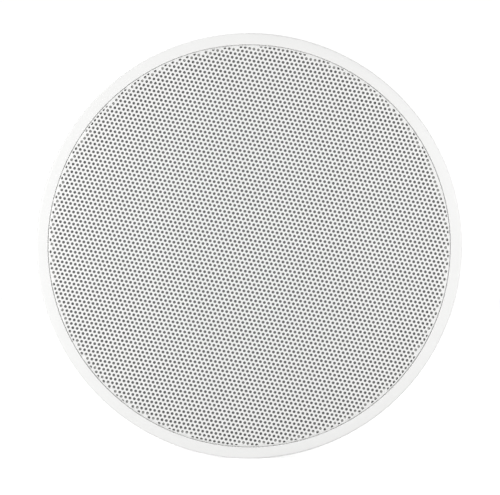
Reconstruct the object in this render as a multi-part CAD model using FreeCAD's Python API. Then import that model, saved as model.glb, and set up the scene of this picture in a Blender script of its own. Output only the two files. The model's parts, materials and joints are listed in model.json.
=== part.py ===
"""A round built-in subwoofer for a wall or ceiling cut-out.

A moulded mounting frame carries an eight-inch woofer, a perforated steel grille that
magnets hold, four swing-out clamps that grip the panel from behind, and a spring
terminal block. Lengths are in millimetres.

The pieces are modelled lying face up: +Z points out of the panel to the listener and
Z = 0 is the panel's face, where the flange seats. At the end every piece is stood up
so that the grille faces -Y and +Z is up.
"""
import FreeCAD
import Part

import math
import os
from FreeCAD import Vector

AXIS = Vector(0, 0, 1)
CENTRE = Vector(0, 0, 0)

# Clearances
SEAT_GAP = 0.3
RUNNING_GAP = 0.05
SCREW_HOLE_GAP = 0.25
OVERCUT = 1.0

# Woofer: fixed side
BASKET_DIAMETER = 204.0
BASKET_SHEET = 1.5
BASKET_BEND = 2.0
BASKET_FOOT_DIAMETER = 92.0
BASKET_FOOT_CLEARANCE = 1.8
BASKET_THROAT_STEP = 0.5
BASKET_WINDOWS = 8
BASKET_WINDOW_WIDTH = 27.0
BASKET_WINDOW_CORNER = 6.0
BASKET_VENT_WIDTH = 17.0
SPIDER_SEAT_DIAMETER = 120.0
SPIDER_SEAT_WIDTH = 9.0
SPIDER_SEAT_DEPTH = 41.0
DRIVER_GASKET = 1.2
DRIVER_SCREW_COUNT = 8
DRIVER_SCREW_INSET = 3.6
DRIVER_SCREW_DIAMETER = 3.5
DRIVER_SCREW_LENGTH = 12.0
DRIVER_HEAD_DIAMETER = 7.0
DRIVER_HEAD_HEIGHT = 2.6
TRIM_RING_HEIGHT = 2.4
TRIM_RING_STEP = 1.0

# Woofer: moving side
SURROUND_THICKNESS = 0.9
SURROUND_LIP_WIDTH = 6.1
SURROUND_ROLL_WIDTH = 13.5
CONE_RIM_WIDTH = 5.0
CONE_THICKNESS = 1.0
CONE_DEPTH = 34.5
CONE_BOW = 3.0
DUST_CAP_DIAMETER = 70.0
DUST_CAP_RISE = 12.0
DUST_CAP_THICKNESS = 0.8
COIL_DIAMETER = 39.4
FORMER_WALL = 0.4
FORMER_FRONT = 4.0
FORMER_TAIL = 1.0
WINDING_THICKNESS = 0.8
WINDING_HEIGHT = 22.0
SPIDER_THICKNESS = 0.7
SPIDER_WAVES = 4
SPIDER_WAVE_HEIGHT = 1.7
SPIDER_COLLAR = 2.6
SPIDER_FOOT_STEP = 1.5
SPIDER_COIL_GAP = 4.2

# Motor
POLE_GAP = 0.7
TOP_PLATE_GAP = 0.8
PLATE_DIAMETER = 104.0
PLATE_CHAMFER = 1.2
TOP_PLATE_THICKNESS = 7.0
MAGNET_RING_DIAMETER = 116.0
MAGNET_RING_BORE = 60.0
MAGNET_RING_HEIGHT = 20.0
BACK_PLATE_THICKNESS = 6.0
POLE_RISE = 1.5
POLE_VENT_DIAMETER = 12.0

# Swing-out clamps
CLAMP_ANGLES = (45.0, 135.0, 225.0, 315.0)
CLAMP_BOSS_DIAMETER = 13.0
CLAMP_ARM_LENGTH = 26.0
CLAMP_ARM_WIDTH = 11.0
CLAMP_NOSE_RADIUS = 3.3
CLAMP_HEIGHT = 12.0
CLAMP_RELIEF = 4.2
CLAMP_TRAVEL = 36.0
CLAMP_TEETH = 4
CLAMP_TOOTH_HEIGHT = 1.2
CLAMP_HEADROOM = 2.3
CLAMP_SETBACK = 1.5
CLAMP_SCREW_DIAMETER = 5.0
CLAMP_SCREW_TAIL = 1.5
CLAMP_HEAD_DIAMETER = 9.4
CLAMP_HEAD_HEIGHT = 3.4
INSERT_DIAMETER = 8.0
TOWER_WALL = 2.4
TOWER_TOP_WALL = 2.4
TOWER_END_WALL = 3.0
TOWER_INSET = 0.8

# Mounting frame, moulded in one piece
DRIVER_SIDE_GAP = 3.8
FLANGE_OVERLAP = 19.5
FLANGE_HEIGHT = 6.0
FLANGE_EDGE_RADIUS = 1.2
FLANGE_RING_WIDTH = 7.7
REBATE_FLOOR = 2.0
BARREL_WALL = 2.6
BARREL_DEPTH = 34.0
SHELF_DEPTH = 18.0
SHELF_THICKNESS = 3.5
SHELF_LAND = 7.0
RIB_COUNT = 32
RIB_THICKNESS = 2.0
RIB_DEPTH = 9.0
RIB_CLEARANCE_ANGLE = 2.5
BOSS_DIAMETER = 8.0
BOSS_FLOOR = 1.9

# Grille, scrim cloth and holding magnets
GRILLE_GAP = 0.3
GRILLE_PROUD = 0.4
GRILLE_SHEET = 0.9
GRILLE_BEND = 0.9
GRILLE_ROW_ANGLE = -10.3
GRILLE_HOLE_DIAMETER = 13.4
GRILLE_HOLE_PITCH = 22.4
GRILLE_HOLE_MARGIN = 0.9
SCRIM_THICKNESS = 0.35
SCRIM_MARGIN = 3.5
MAGNET_COUNT = 8
MAGNET_DIAMETER = 8.0
MAGNET_POCKET_DEPTH = 1.0

# Solder tags and leads of the woofer
TERMINAL_ANGLE = 270.0
STRIP_WIDTH = 30.0
STRIP_OVERHANG = 8.0
STRIP_THICKNESS = 1.6
RIVET_DIAMETER = 2.4
RIVET_HEAD_DIAMETER = 4.4
RIVET_HEAD_HEIGHT = 1.0
RIVET_SPACING = 22.0
RIVET_INSET = 2.6
TAG_SPACING = 18.0
TAG_WIDTH = 6.3
TAG_THICKNESS = 0.8
TAG_FOOT = 7.5
TAG_BLADE = 8.0
TAG_CHAMFER = 1.1
TINSEL_DIAMETER = 1.6
TINSEL_REACH_SHARE = 0.573
TINSEL_RISE_SHARE = 0.45
TINSEL_BEND = 7.0
CONNECTOR_LENGTH = 14.0
CONNECTOR_HEIGHT = 4.6
CONNECTOR_WALL = 1.0
WIRE_DIAMETER = 2.4
WIRE_STRAIGHT = 1.3

# Spring terminal block
BUTTON_WIDTH = 11.0
BUTTON_RADIAL = 8.0
BUTTON_TRAVEL = 3.0
BUTTON_LIP = 2.5
BUTTON_STEM = 8.5
BUTTON_DIP = 1.4
BUTTON_WEB = 8.0
SPRING_ROOM = 11.5
SPRING_STRIP = 0.5
SPRING_BEND = 0.6
SPRING_WIDTH = 5.0
WIRE_ENTRY_DIAMETER = 3.6
WIRE_ENTRY_DEPTH = 12.0
WIRE_ENTRY_WEB = 1.2
BLOCK_SIDE_WALL = 6.0
BLOCK_OUTER_WALL = 2.2
BLOCK_WIRE_SHELF = 4.0
BLOCK_ROOF = 4.0
BLOCK_EDGE_RADIUS = 1.2
BLOCK_BARREL_GAP = 0.6
EAR_WIDTH = 9.0
EAR_THICKNESS = 3.0
EAR_BOSS_HEIGHT = 6.0

# Radii, worked outwards from the woofer's basket to the flange
BASKET_R = BASKET_DIAMETER / 2
DRIVER_SCREW_R = BASKET_R - DRIVER_SCREW_INSET
LIP_OUTER_R = DRIVER_SCREW_R - DRIVER_HEAD_DIAMETER / 2 - SEAT_GAP
LIP_INNER_R = LIP_OUTER_R - SURROUND_LIP_WIDTH
BASKET_THROAT_R = LIP_INNER_R + BASKET_THROAT_STEP
ROLL_R = SURROUND_ROLL_WIDTH / 2
ROLL_CENTRE_R = LIP_INNER_R - ROLL_R
CONE_R = LIP_INNER_R - SURROUND_ROLL_WIDTH
CONE_FACE_R = CONE_R - CONE_RIM_WIDTH
TINSEL_REACH_R = CONE_R * TINSEL_REACH_SHARE
SHELF_OPENING_R = BASKET_R - SHELF_LAND
TOWER_BACK = BASKET_R + DRIVER_SIDE_GAP
POCKET_BACK = TOWER_BACK + TOWER_WALL
CLAMP_BOSS_R = CLAMP_BOSS_DIAMETER / 2
CLAMP_AXIS_R = POCKET_BACK + SEAT_GAP + CLAMP_BOSS_R
BARREL_R = CLAMP_AXIS_R + CLAMP_BOSS_R + CLAMP_SETBACK
BARREL_INNER_R = BARREL_R - BARREL_WALL
FLANGE_R = BARREL_R + FLANGE_OVERLAP
REBATE_R = FLANGE_R - FLANGE_RING_WIDTH
GRILLE_R = REBATE_R - GRILLE_GAP
MAGNET_CIRCLE_R = (BARREL_INNER_R + REBATE_R) / 2

# Radii of the coil, spider and motor
COIL_R = COIL_DIAMETER / 2
FORMER_INNER_R = COIL_R - FORMER_WALL
WINDING_R = COIL_R + WINDING_THICKNESS
SPIDER_SEAT_R = SPIDER_SEAT_DIAMETER / 2
SPIDER_LEDGE_R = SPIDER_SEAT_R - SPIDER_SEAT_WIDTH
BASKET_FOOT_R = BASKET_FOOT_DIAMETER / 2

# Heights, from the grille's face to the back plate
GRILLE_FACE_Z = FLANGE_HEIGHT + GRILLE_PROUD
SCRIM_FACE_Z = GRILLE_FACE_Z - GRILLE_SHEET
SCRIM_BACK_Z = SCRIM_FACE_Z - SCRIM_THICKNESS
SHELF_FRONT_Z = -SHELF_DEPTH
SHELF_BACK_Z = SHELF_FRONT_Z - SHELF_THICKNESS
BASKET_BACK_Z = SHELF_FRONT_Z + DRIVER_GASKET
BASKET_FACE_Z = BASKET_BACK_Z + BASKET_SHEET
CONE_NECK_Z = BASKET_FACE_Z - CONE_DEPTH
SPIDER_SEAT_Z = BASKET_FACE_Z - SPIDER_SEAT_DEPTH
WINDING_Z = SPIDER_SEAT_Z - SPIDER_COIL_GAP - WINDING_HEIGHT
TOP_PLATE_Z = WINDING_Z + (WINDING_HEIGHT + TOP_PLATE_THICKNESS) / 2
BASKET_FOOT_Z = TOP_PLATE_Z + BASKET_SHEET
MAGNET_RING_Z = TOP_PLATE_Z - TOP_PLATE_THICKNESS
BACK_PLATE_Z = MAGNET_RING_Z - MAGNET_RING_HEIGHT
MOTOR_END_Z = BACK_PLATE_Z - BACK_PLATE_THICKNESS

# Clamp places. Across a tower, the screw lies so that its pocket is centred.
CLAMP_AXIS_Y = (CLAMP_BOSS_R - CLAMP_ARM_LENGTH) / 2
CLAMP_TIP_Y = CLAMP_AXIS_Y + CLAMP_ARM_LENGTH
POCKET_LOW = CLAMP_AXIS_Y - CLAMP_BOSS_R - SEAT_GAP
POCKET_HIGH = CLAMP_TIP_Y + SEAT_GAP
HEAD_SEAT_Z = REBATE_FLOOR - CLAMP_HEAD_HEIGHT - SEAT_GAP
POCKET_TOP_Z = HEAD_SEAT_Z - TOWER_TOP_WALL
CLAMP_FACE_Z = POCKET_TOP_Z - CLAMP_HEADROOM - CLAMP_TOOTH_HEIGHT - CLAMP_TRAVEL
CLAMP_REAR_Z = CLAMP_FACE_Z - CLAMP_HEIGHT
POCKET_END_Z = CLAMP_REAR_Z - SEAT_GAP
TOWER_END_Z = POCKET_END_Z - TOWER_END_WALL

# Terminal places
STRIP_OUTER_R = SPIDER_SEAT_R + STRIP_OVERHANG
STRIP_FACE_Z = SPIDER_SEAT_Z - BASKET_SHEET
TAG_FACE_Z = STRIP_FACE_Z - STRIP_THICKNESS
CONNECTOR_Z = TAG_FACE_Z - TAG_THICKNESS / 2
CONNECTOR_END_R = STRIP_OUTER_R + CONNECTOR_LENGTH
BLOCK_RADIAL = BLOCK_OUTER_WALL + BUTTON_RADIAL + WIRE_ENTRY_WEB + WIRE_ENTRY_DIAMETER + BLOCK_WIRE_SHELF
BUTTON_Y = (BUTTON_WIDTH + BUTTON_WEB) / 2
BLOCK_HALF_WIDTH = BUTTON_Y + BUTTON_WIDTH / 2 + BLOCK_SIDE_WALL
BLOCK_OUTER_R = math.sqrt((BARREL_INNER_R - BLOCK_BARREL_GAP) ** 2 - BLOCK_HALF_WIDTH ** 2)
BLOCK_INNER_R = BLOCK_OUTER_R - BLOCK_RADIAL
BUTTON_R = BLOCK_OUTER_R - BLOCK_OUTER_WALL - BUTTON_RADIAL / 2
WIRE_ENTRY_R = BUTTON_R - BUTTON_RADIAL / 2 - WIRE_ENTRY_WEB - WIRE_ENTRY_DIAMETER / 2
BUTTON_POCKET_DEPTH = BUTTON_STEM + SPRING_ROOM
BLOCK_END_Z = SHELF_BACK_Z - BUTTON_POCKET_DEPTH - BLOCK_ROOF
EAR_R = (BLOCK_INNER_R + BLOCK_OUTER_R) / 2
EAR_Y = BLOCK_HALF_WIDTH + EAR_WIDTH / 2
EAR_FACE_Z = SHELF_BACK_Z - EAR_BOSS_HEIGHT
EAR_SCREW_LENGTH = EAR_THICKNESS + EAR_BOSS_HEIGHT + SHELF_THICKNESS - BOSS_FLOOR - SEAT_GAP


# Drawing helpers

def point(r, z):
    """A point of a profile: r from the axis, z along it."""
    return Vector(r, 0, z)


def line(a, b):
    return Part.LineSegment(a, b).toShape()


def arc(a, middle, b):
    return Part.Arc(a, middle, b).toShape()


def polygon_edges(corners):
    """The straight edges of a closed outline of (r, z) corners."""
    ends = [point(*corner) for corner in corners]
    return [line(a, b) for a, b in zip(ends, ends[1:] + ends[:1])]


def outline_face(edges):
    return Part.Face(Part.Wire(Part.__sortEdges__(edges)))


def turned(edges):
    """A solid of revolution about the axis from the edges of one closed outline."""
    return outline_face(edges).revolve(CENTRE, AXIS, 360)


def ring(inner_r, outer_r, low_z, high_z):
    return turned(polygon_edges([(inner_r, low_z), (outer_r, low_z), (outer_r, high_z), (inner_r, high_z)]))


def disc(r, low_z, high_z, x=0.0, y=0.0):
    return Part.makeCylinder(r, high_z - low_z, Vector(x, y, low_z))


def block(x0, x1, y0, y1, z0, z1):
    return Part.makeBox(x1 - x0, y1 - y0, z1 - z0, Vector(x0, y0, z0))


def turn(shape, angle):
    """A copy turned about the axis; a piece drawn on +X lands at that angle."""
    copy = shape.copy()
    copy.rotate(CENTRE, AXIS, angle)
    return copy


def around(shape, count, start=0.0):
    return [turn(shape, start + k * 360.0 / count) for k in range(count)]


def mirrored(shape):
    """The same shape on the other side of the X axis."""
    return shape.mirror(CENTRE, Vector(0, 1, 0))


def both_sides(shape):
    """A shape drawn beside +X and its mirror image, turned to the terminals' angle."""
    return [turn(shape, TERMINAL_ANGLE), turn(mirrored(shape), TERMINAL_ANGLE)]


def rounded_run(corners, radii):
    """The edges of an open run of lines with a tangent arc at each inner corner."""
    ends = [point(*corner) for corner in corners]
    edges = []
    last = ends[0]
    for before, here, after, radius in zip(ends, ends[1:], ends[2:], radii):
        into = (here - before).normalize()
        out = (after - here).normalize()
        half = into.getAngle(out) / 2
        reach = radius * math.tan(half)
        start = here - into * reach
        stop = here + out * reach
        inward = (out - into).normalize()
        middle = here + inward * (radius / math.cos(half) - radius)
        edges.append(line(last, start))
        edges.append(arc(start, middle, stop))
        last = stop
    edges.append(line(last, ends[-1]))
    return edges


def sheet_edges(corners, thickness, bend):
    """The outline of a bent sheet: one face's corners, and the other face to the right of them."""
    ends = [point(*corner) for corner in corners]
    ways = [(b - a).normalize() for a, b in zip(ends, ends[1:])]
    sides = [Vector(way.z, 0, -way.x) for way in ways]
    moved = [ends[0] + sides[0] * thickness]
    near_radii = []
    far_radii = []
    for here, way, after, side in zip(ends[1:], ways, ways[1:], sides):
        half = way.getAngle(after) / 2
        right_turn = way.z * after.x - way.x * after.z > 0
        slide = thickness * math.tan(half) * (-1 if right_turn else 1)
        moved.append(here + side * thickness + way * slide)
        near_radii.append(bend + thickness if right_turn else bend)
        far_radii.append(bend if right_turn else bend + thickness)
    moved.append(ends[-1] + sides[-1] * thickness)
    edges = rounded_run(corners, near_radii)
    edges += rounded_run([(p.x, p.z) for p in moved], far_radii)
    edges.append(line(ends[0], moved[0]))
    edges.append(line(ends[-1], moved[-1]))
    return edges


def tube(run, diameter):
    """A round wire along edges that join end to end."""
    start = run[0].FirstParameter
    section = Part.makeCircle(diameter / 2, run[0].valueAt(start), run[0].tangentAt(start))
    return Part.Wire(run).makePipeShell([Part.Wire(section)], True, False)


def cross_recess(width, depth, top_z):
    """The cut for a cross-head driver."""
    half = width / 2
    arm = width / 7
    one = block(-half, half, -arm, arm, top_z - depth, top_z + OVERCUT)
    two = block(-arm, arm, -half, half, top_z - depth, top_z + OVERCUT)
    return one.fuse(two)


def pan_head_screw(x, y, seat_z, diameter, length, head_diameter, head_height, way=1):
    """A pan-head screw. Its head points to +Z where way is 1, and to -Z where way is -1."""
    shank = disc(diameter / 2, -length, 0.0)
    head = disc(head_diameter / 2, 0.0, head_height)
    rim = [e for e in head.Edges if e.Closed and abs(e.BoundBox.ZMin - head_height) < SEAT_GAP]
    head = head.makeFillet(head_height * 0.45, rim)
    recess = cross_recess(head_diameter * 0.55, head_height * 0.6, head_height)
    screw = shank.fuse(head).cut(recess).removeSplitter()
    if way < 0:
        screw.rotate(CENTRE, Vector(1, 0, 0), 180)
    screw.translate(Vector(x, y, seat_z))
    return screw


def group(shapes):
    return Part.makeCompound(shapes)


# Mounting frame

def frame_shell():
    """The turned body: flange with its rounded edge, grille rebate, barrel and driver shelf."""
    edge = FLANGE_EDGE_RADIUS
    bulge = edge * (1 - math.sqrt(0.5))
    corners = [
        (FLANGE_R - edge, FLANGE_HEIGHT),
        (REBATE_R, FLANGE_HEIGHT),
        (REBATE_R, REBATE_FLOOR),
        (BARREL_INNER_R, REBATE_FLOOR),
        (BARREL_INNER_R, SHELF_FRONT_Z),
        (SHELF_OPENING_R, SHELF_FRONT_Z),
        (SHELF_OPENING_R, SHELF_BACK_Z),
        (BARREL_INNER_R, SHELF_BACK_Z),
        (BARREL_INNER_R, -BARREL_DEPTH),
        (BARREL_R, -BARREL_DEPTH),
        (BARREL_R, 0),
        (FLANGE_R, 0),
        (FLANGE_R, FLANGE_HEIGHT - edge),
    ]
    edges = polygon_edges(corners)[:-1]
    edges.append(arc(point(*corners[-1]), point(FLANGE_R - bulge, FLANGE_HEIGHT - bulge), point(*corners[0])))
    return turned(edges)


def clamp_tower():
    """A solid block from the rebate floor to the tower's end wall, set in a little from the barrel."""
    solid = block(TOWER_BACK, BARREL_R, POCKET_LOW - TOWER_WALL, POCKET_HIGH + TOWER_WALL,
                  TOWER_END_Z, REBATE_FLOOR)
    return solid.common(disc(BARREL_R - TOWER_INSET, TOWER_END_Z, REBATE_FLOOR))


def clamp_pocket():
    """The space that the clamp stows and climbs in, open through the barrel, with its screw hole."""
    pocket = block(POCKET_BACK, FLANGE_R, POCKET_LOW, POCKET_HIGH, POCKET_END_Z, POCKET_TOP_Z)
    shank_r = CLAMP_SCREW_DIAMETER / 2 + SCREW_HOLE_GAP
    hole = disc(shank_r, TOWER_END_Z - OVERCUT, REBATE_FLOOR + OVERCUT, CLAMP_AXIS_R, CLAMP_AXIS_Y)
    head_r = CLAMP_HEAD_DIAMETER / 2 + SEAT_GAP
    counterbore = disc(head_r, HEAD_SEAT_Z, REBATE_FLOOR + OVERCUT, CLAMP_AXIS_R, CLAMP_AXIS_Y)
    return pocket.fuse([hole, counterbore])


def driver_screw_angles():
    """The driver's screws lie midway between its basket's windows."""
    step = 360.0 / DRIVER_SCREW_COUNT
    return [TERMINAL_ANGLE + step / 2 + k * step for k in range(DRIVER_SCREW_COUNT)]


def rib_angles():
    """Ribs keep clear of the clamp towers, the driver's screw bosses and the terminal block."""
    tower = math.degrees(math.atan2(POCKET_HIGH + TOWER_WALL, TOWER_BACK))
    terminal = math.degrees(math.atan2(EAR_Y + EAR_WIDTH / 2, BLOCK_INNER_R))
    boss = math.degrees(math.atan2(BOSS_DIAMETER / 2, DRIVER_SCREW_R))
    taken = [(angle, tower) for angle in CLAMP_ANGLES]
    taken += [(angle, boss) for angle in driver_screw_angles()]
    taken.append((TERMINAL_ANGLE, terminal))
    step = 360.0 / RIB_COUNT
    angles = [(k + 0.5) * step for k in range(RIB_COUNT)]

    def clear(angle):
        return all(abs((angle - c + 180) % 360 - 180) > w + RIB_CLEARANCE_ANGLE for c, w in taken)

    return [angle for angle in angles if clear(angle)]


def mounting_frame():
    """The turned body with its towers, ribs and bosses, then every pocket and pilot hole."""
    rib = block(SHELF_OPENING_R + RIB_THICKNESS, BARREL_R - BARREL_WALL / 2, -RIB_THICKNESS / 2,
                RIB_THICKNESS / 2, SHELF_BACK_Z - RIB_DEPTH, SHELF_BACK_Z)
    boss_r = BOSS_DIAMETER / 2
    pilot_r = DRIVER_SCREW_DIAMETER / 2
    pilot_end_z = BASKET_FACE_Z - DRIVER_SCREW_LENGTH - SEAT_GAP
    driver_boss = disc(boss_r, pilot_end_z - BOSS_FLOOR, SHELF_BACK_Z, DRIVER_SCREW_R)
    driver_pilot = disc(pilot_r, pilot_end_z, SHELF_FRONT_Z + OVERCUT, DRIVER_SCREW_R)
    ear_boss = disc(boss_r, EAR_FACE_Z, SHELF_BACK_Z, EAR_R, EAR_Y)
    ear_pilot = disc(pilot_r, EAR_FACE_Z - OVERCUT, SHELF_FRONT_Z - BOSS_FLOOR, EAR_R, EAR_Y)
    pocket_z = REBATE_FLOOR - MAGNET_POCKET_DEPTH
    magnet_pocket = disc(MAGNET_DIAMETER / 2, pocket_z, REBATE_FLOOR + OVERCUT, MAGNET_CIRCLE_R)

    added = [turn(clamp_tower(), angle) for angle in CLAMP_ANGLES]
    added += [turn(rib, angle) for angle in rib_angles()]
    added += [turn(driver_boss, angle) for angle in driver_screw_angles()]
    added += both_sides(ear_boss)
    cuts = [turn(clamp_pocket(), angle) for angle in CLAMP_ANGLES]
    cuts += [turn(driver_pilot, angle) for angle in driver_screw_angles()]
    cuts += both_sides(ear_pilot)
    cuts += around(magnet_pocket, MAGNET_COUNT)
    return frame_shell().fuse(added).cut(cuts).removeSplitter()


# Grille

def grille_hole_places():
    """Staggered rows; every hole stays on the flat of the sheet."""
    limit = GRILLE_R - GRILLE_SHEET - GRILLE_BEND - GRILLE_HOLE_MARGIN - GRILLE_HOLE_DIAMETER / 2
    row_step = GRILLE_HOLE_PITCH * math.sqrt(3) / 2
    reach = int(GRILLE_R / row_step) + 1
    places = []
    for row in range(-reach, reach + 1):
        shift = GRILLE_HOLE_PITCH / 2 if row % 2 else 0.0
        for column in range(-reach, reach + 1):
            x = column * GRILLE_HOLE_PITCH + shift
            y = row * row_step
            if math.hypot(x, y) <= limit:
                places.append((x, y))
    return places


def grille():
    """A pressed disc with a rolled edge and a short skirt, perforated in staggered rows."""
    skirt_z = REBATE_FLOOR + SEAT_GAP
    outer = [(0, GRILLE_FACE_Z), (GRILLE_R, GRILLE_FACE_Z), (GRILLE_R, skirt_z)]
    sheet = turned(sheet_edges(outer, GRILLE_SHEET, GRILLE_BEND))
    punch_r = GRILLE_HOLE_DIAMETER / 2
    low = SCRIM_FACE_Z - OVERCUT
    high = GRILLE_FACE_Z + OVERCUT
    punches = [disc(punch_r, low, high, x, y) for x, y in grille_hole_places()]
    return turn(sheet.cut(punches), GRILLE_ROW_ANGLE)


def scrim():
    """The black cloth bonded behind the perforations."""
    return disc(GRILLE_R - SCRIM_MARGIN, SCRIM_BACK_Z, SCRIM_FACE_Z)


def grille_magnets():
    """Disc magnets in pockets of the rebate floor, up to the back of the scrim."""
    low = REBATE_FLOOR - MAGNET_POCKET_DEPTH
    return group(around(disc(MAGNET_DIAMETER / 2, low, SCRIM_BACK_Z, MAGNET_CIRCLE_R), MAGNET_COUNT))


# Swing-out clamps, drawn in the tower on +X

def clamp_screw():
    """A long screw: its head turns in the counterbore and its tail in the tower's end wall."""
    length = HEAD_SEAT_Z - TOWER_END_Z + CLAMP_SCREW_TAIL
    return pan_head_screw(CLAMP_AXIS_R, CLAMP_AXIS_Y, HEAD_SEAT_Z, CLAMP_SCREW_DIAMETER, length,
                          CLAMP_HEAD_DIAMETER, CLAMP_HEAD_HEIGHT)


def clamp_insert():
    """The brass nut that climbs the screw and carries the arm."""
    bore_r = CLAMP_SCREW_DIAMETER / 2 + RUNNING_GAP
    sleeve = ring(bore_r, INSERT_DIAMETER / 2, CLAMP_REAR_Z, CLAMP_FACE_Z)
    sleeve.translate(Vector(CLAMP_AXIS_R, CLAMP_AXIS_Y, 0))
    return sleeve


def clamp_teeth():
    """A row of ridges across the arm's face that bite into the panel."""
    half = CLAMP_ARM_WIDTH / 2
    first = CLAMP_AXIS_Y + CLAMP_BOSS_R
    run = (CLAMP_TIP_Y - CLAMP_NOSE_RADIUS - first) / CLAMP_TEETH
    teeth = []
    for k in range(CLAMP_TEETH):
        foot = first + k * run
        profile = [(foot, 0), (foot + run, 0), (foot + run / 2, CLAMP_TOOTH_HEIGHT)]
        ends = [Vector(CLAMP_AXIS_R - half, y, CLAMP_FACE_Z + z) for y, z in profile]
        teeth.append(Part.Face(Part.makePolygon(ends + ends[:1])).extrude(Vector(CLAMP_ARM_WIDTH, 0, 0)))
    return teeth


def clamp_dog():
    """The swing-out arm, stowed along the barrel: a hub, a relieved arm and its teeth."""
    x = CLAMP_AXIS_R
    y = CLAMP_AXIS_Y
    half = CLAMP_ARM_WIDTH / 2
    hub = disc(CLAMP_BOSS_R, CLAMP_REAR_Z, CLAMP_FACE_Z, x, y)
    arm = block(x - half, x + half, y, CLAMP_TIP_Y, CLAMP_REAR_Z, CLAMP_FACE_Z)
    upright = [e for e in arm.Edges if e.BoundBox.ZLength > CLAMP_HEIGHT / 2]
    nose = [e for e in upright if e.BoundBox.YMin > y + half]
    arm = arm.makeFillet(CLAMP_NOSE_RADIUS, nose)
    relief = block(x - CLAMP_BOSS_R, x + CLAMP_BOSS_R, y + CLAMP_BOSS_R, CLAMP_TIP_Y + OVERCUT,
                   CLAMP_REAR_Z - OVERCUT, CLAMP_REAR_Z + CLAMP_RELIEF)
    bore_r = INSERT_DIAMETER / 2 + RUNNING_GAP
    bore = disc(bore_r, CLAMP_REAR_Z - OVERCUT, CLAMP_FACE_Z + OVERCUT, x, y)
    return hub.fuse([arm.cut(relief)] + clamp_teeth()).cut(bore).removeSplitter()


# Woofer: fixed side

def driver_gasket():
    sheet = ring(SHELF_OPENING_R, BASKET_R, SHELF_FRONT_Z, BASKET_BACK_Z)
    return sheet.cut(driver_screw_holes())


def driver_screw_holes():
    """Clearance holes through the basket's flange and its gasket."""
    hole_r = DRIVER_SCREW_DIAMETER / 2 + SCREW_HOLE_GAP
    hole = disc(hole_r, SHELF_FRONT_Z - OVERCUT, BASKET_FACE_Z + OVERCUT, DRIVER_SCREW_R)
    return [turn(hole, angle) for angle in driver_screw_angles()]


def driver_screws():
    screw = pan_head_screw(DRIVER_SCREW_R, 0, BASKET_FACE_Z, DRIVER_SCREW_DIAMETER, DRIVER_SCREW_LENGTH,
                           DRIVER_HEAD_DIAMETER, DRIVER_HEAD_HEIGHT)
    return group([turn(screw, angle) for angle in driver_screw_angles()])


def basket_window():
    """A cut through the basket's wall on +X, with rounded corners."""
    low = SPIDER_SEAT_Z + 2 * BASKET_BEND
    high = BASKET_BACK_Z - 3 * BASKET_BEND
    half = BASKET_WINDOW_WIDTH / 2
    cutter = block(SPIDER_LEDGE_R, BASKET_R, -half, half, low, high)
    return cutter.makeFillet(BASKET_WINDOW_CORNER, [e for e in cutter.Edges if e.BoundBox.XLength > half])


def basket_vent():
    """A slot under the spider, so that air moves freely behind it."""
    half = BASKET_VENT_WIDTH / 2
    low = BASKET_FOOT_Z + 2 * BASKET_SHEET
    high = SPIDER_SEAT_Z - 1.5 * BASKET_SHEET
    return block(BASKET_FOOT_R - BASKET_SHEET, SPIDER_SEAT_R, -half, half, low, high)


def basket():
    """A pressed steel basket: flange, windowed wall, spider ledge and a foot on the top plate."""
    corners = [
        (WINDING_R + BASKET_FOOT_CLEARANCE, BASKET_FOOT_Z),
        (BASKET_FOOT_R, BASKET_FOOT_Z),
        (SPIDER_LEDGE_R, SPIDER_SEAT_Z),
        (SPIDER_SEAT_R, SPIDER_SEAT_Z),
        (BASKET_THROAT_R, BASKET_FACE_Z),
        (BASKET_R, BASKET_FACE_Z),
    ]
    shell = turned(sheet_edges(corners, BASKET_SHEET, BASKET_BEND))
    half_step = 180.0 / BASKET_WINDOWS
    cuts = around(basket_window(), BASKET_WINDOWS, TERMINAL_ANGLE)
    cuts += around(basket_vent(), BASKET_WINDOWS, TERMINAL_ANGLE + half_step)
    cuts += driver_screw_holes() + rivet_holes()
    return shell.cut(cuts)


def trim_ring():
    """The felt ring that clamps the surround's lip to the basket."""
    low = BASKET_FACE_Z + SURROUND_THICKNESS
    return ring(LIP_INNER_R + TRIM_RING_STEP, LIP_OUTER_R, low, low + TRIM_RING_HEIGHT)


# Woofer: moving side

def surround():
    """A half-roll of rubber between a flat lip on the basket and a foot on the cone's rim."""
    low = BASKET_FACE_Z
    high = BASKET_FACE_Z + SURROUND_THICKNESS
    roll = ROLL_CENTRE_R
    over_r = ROLL_R + SURROUND_THICKNESS / 2
    under_r = ROLL_R - SURROUND_THICKNESS / 2
    edges = [
        arc(point(roll + over_r, high), point(roll, high + over_r), point(roll - over_r, high)),
        line(point(roll - over_r, high), point(CONE_FACE_R, high)),
        line(point(CONE_FACE_R, high), point(CONE_FACE_R, low)),
        line(point(CONE_FACE_R, low), point(roll - under_r, low)),
        line(point(roll - under_r, low), point(roll - under_r, high)),
        arc(point(roll - under_r, high), point(roll, high + under_r), point(roll + under_r, high)),
        line(point(roll + under_r, high), point(roll + under_r, low)),
        line(point(roll + under_r, low), point(LIP_OUTER_R, low)),
        line(point(LIP_OUTER_R, low), point(LIP_OUTER_R, high)),
        line(point(LIP_OUTER_R, high), point(roll + over_r, high)),
    ]
    return turned(edges)


def cone_arc():
    """The bowed front face of the cone, from its neck to its rim, as a circular arc."""
    middle_r = (COIL_R + CONE_FACE_R) / 2
    middle_z = (CONE_NECK_Z + BASKET_FACE_Z) / 2 - CONE_BOW
    return arc(point(COIL_R, CONE_NECK_Z), point(middle_r, middle_z), point(CONE_FACE_R, BASKET_FACE_Z))


def cone_face_z(r):
    """Height of the cone's front face at radius r."""
    circle = cone_arc().Curve
    away = r - circle.Center.x
    drop = math.sqrt(circle.Radius ** 2 - away ** 2)
    return circle.Center.z - drop


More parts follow.
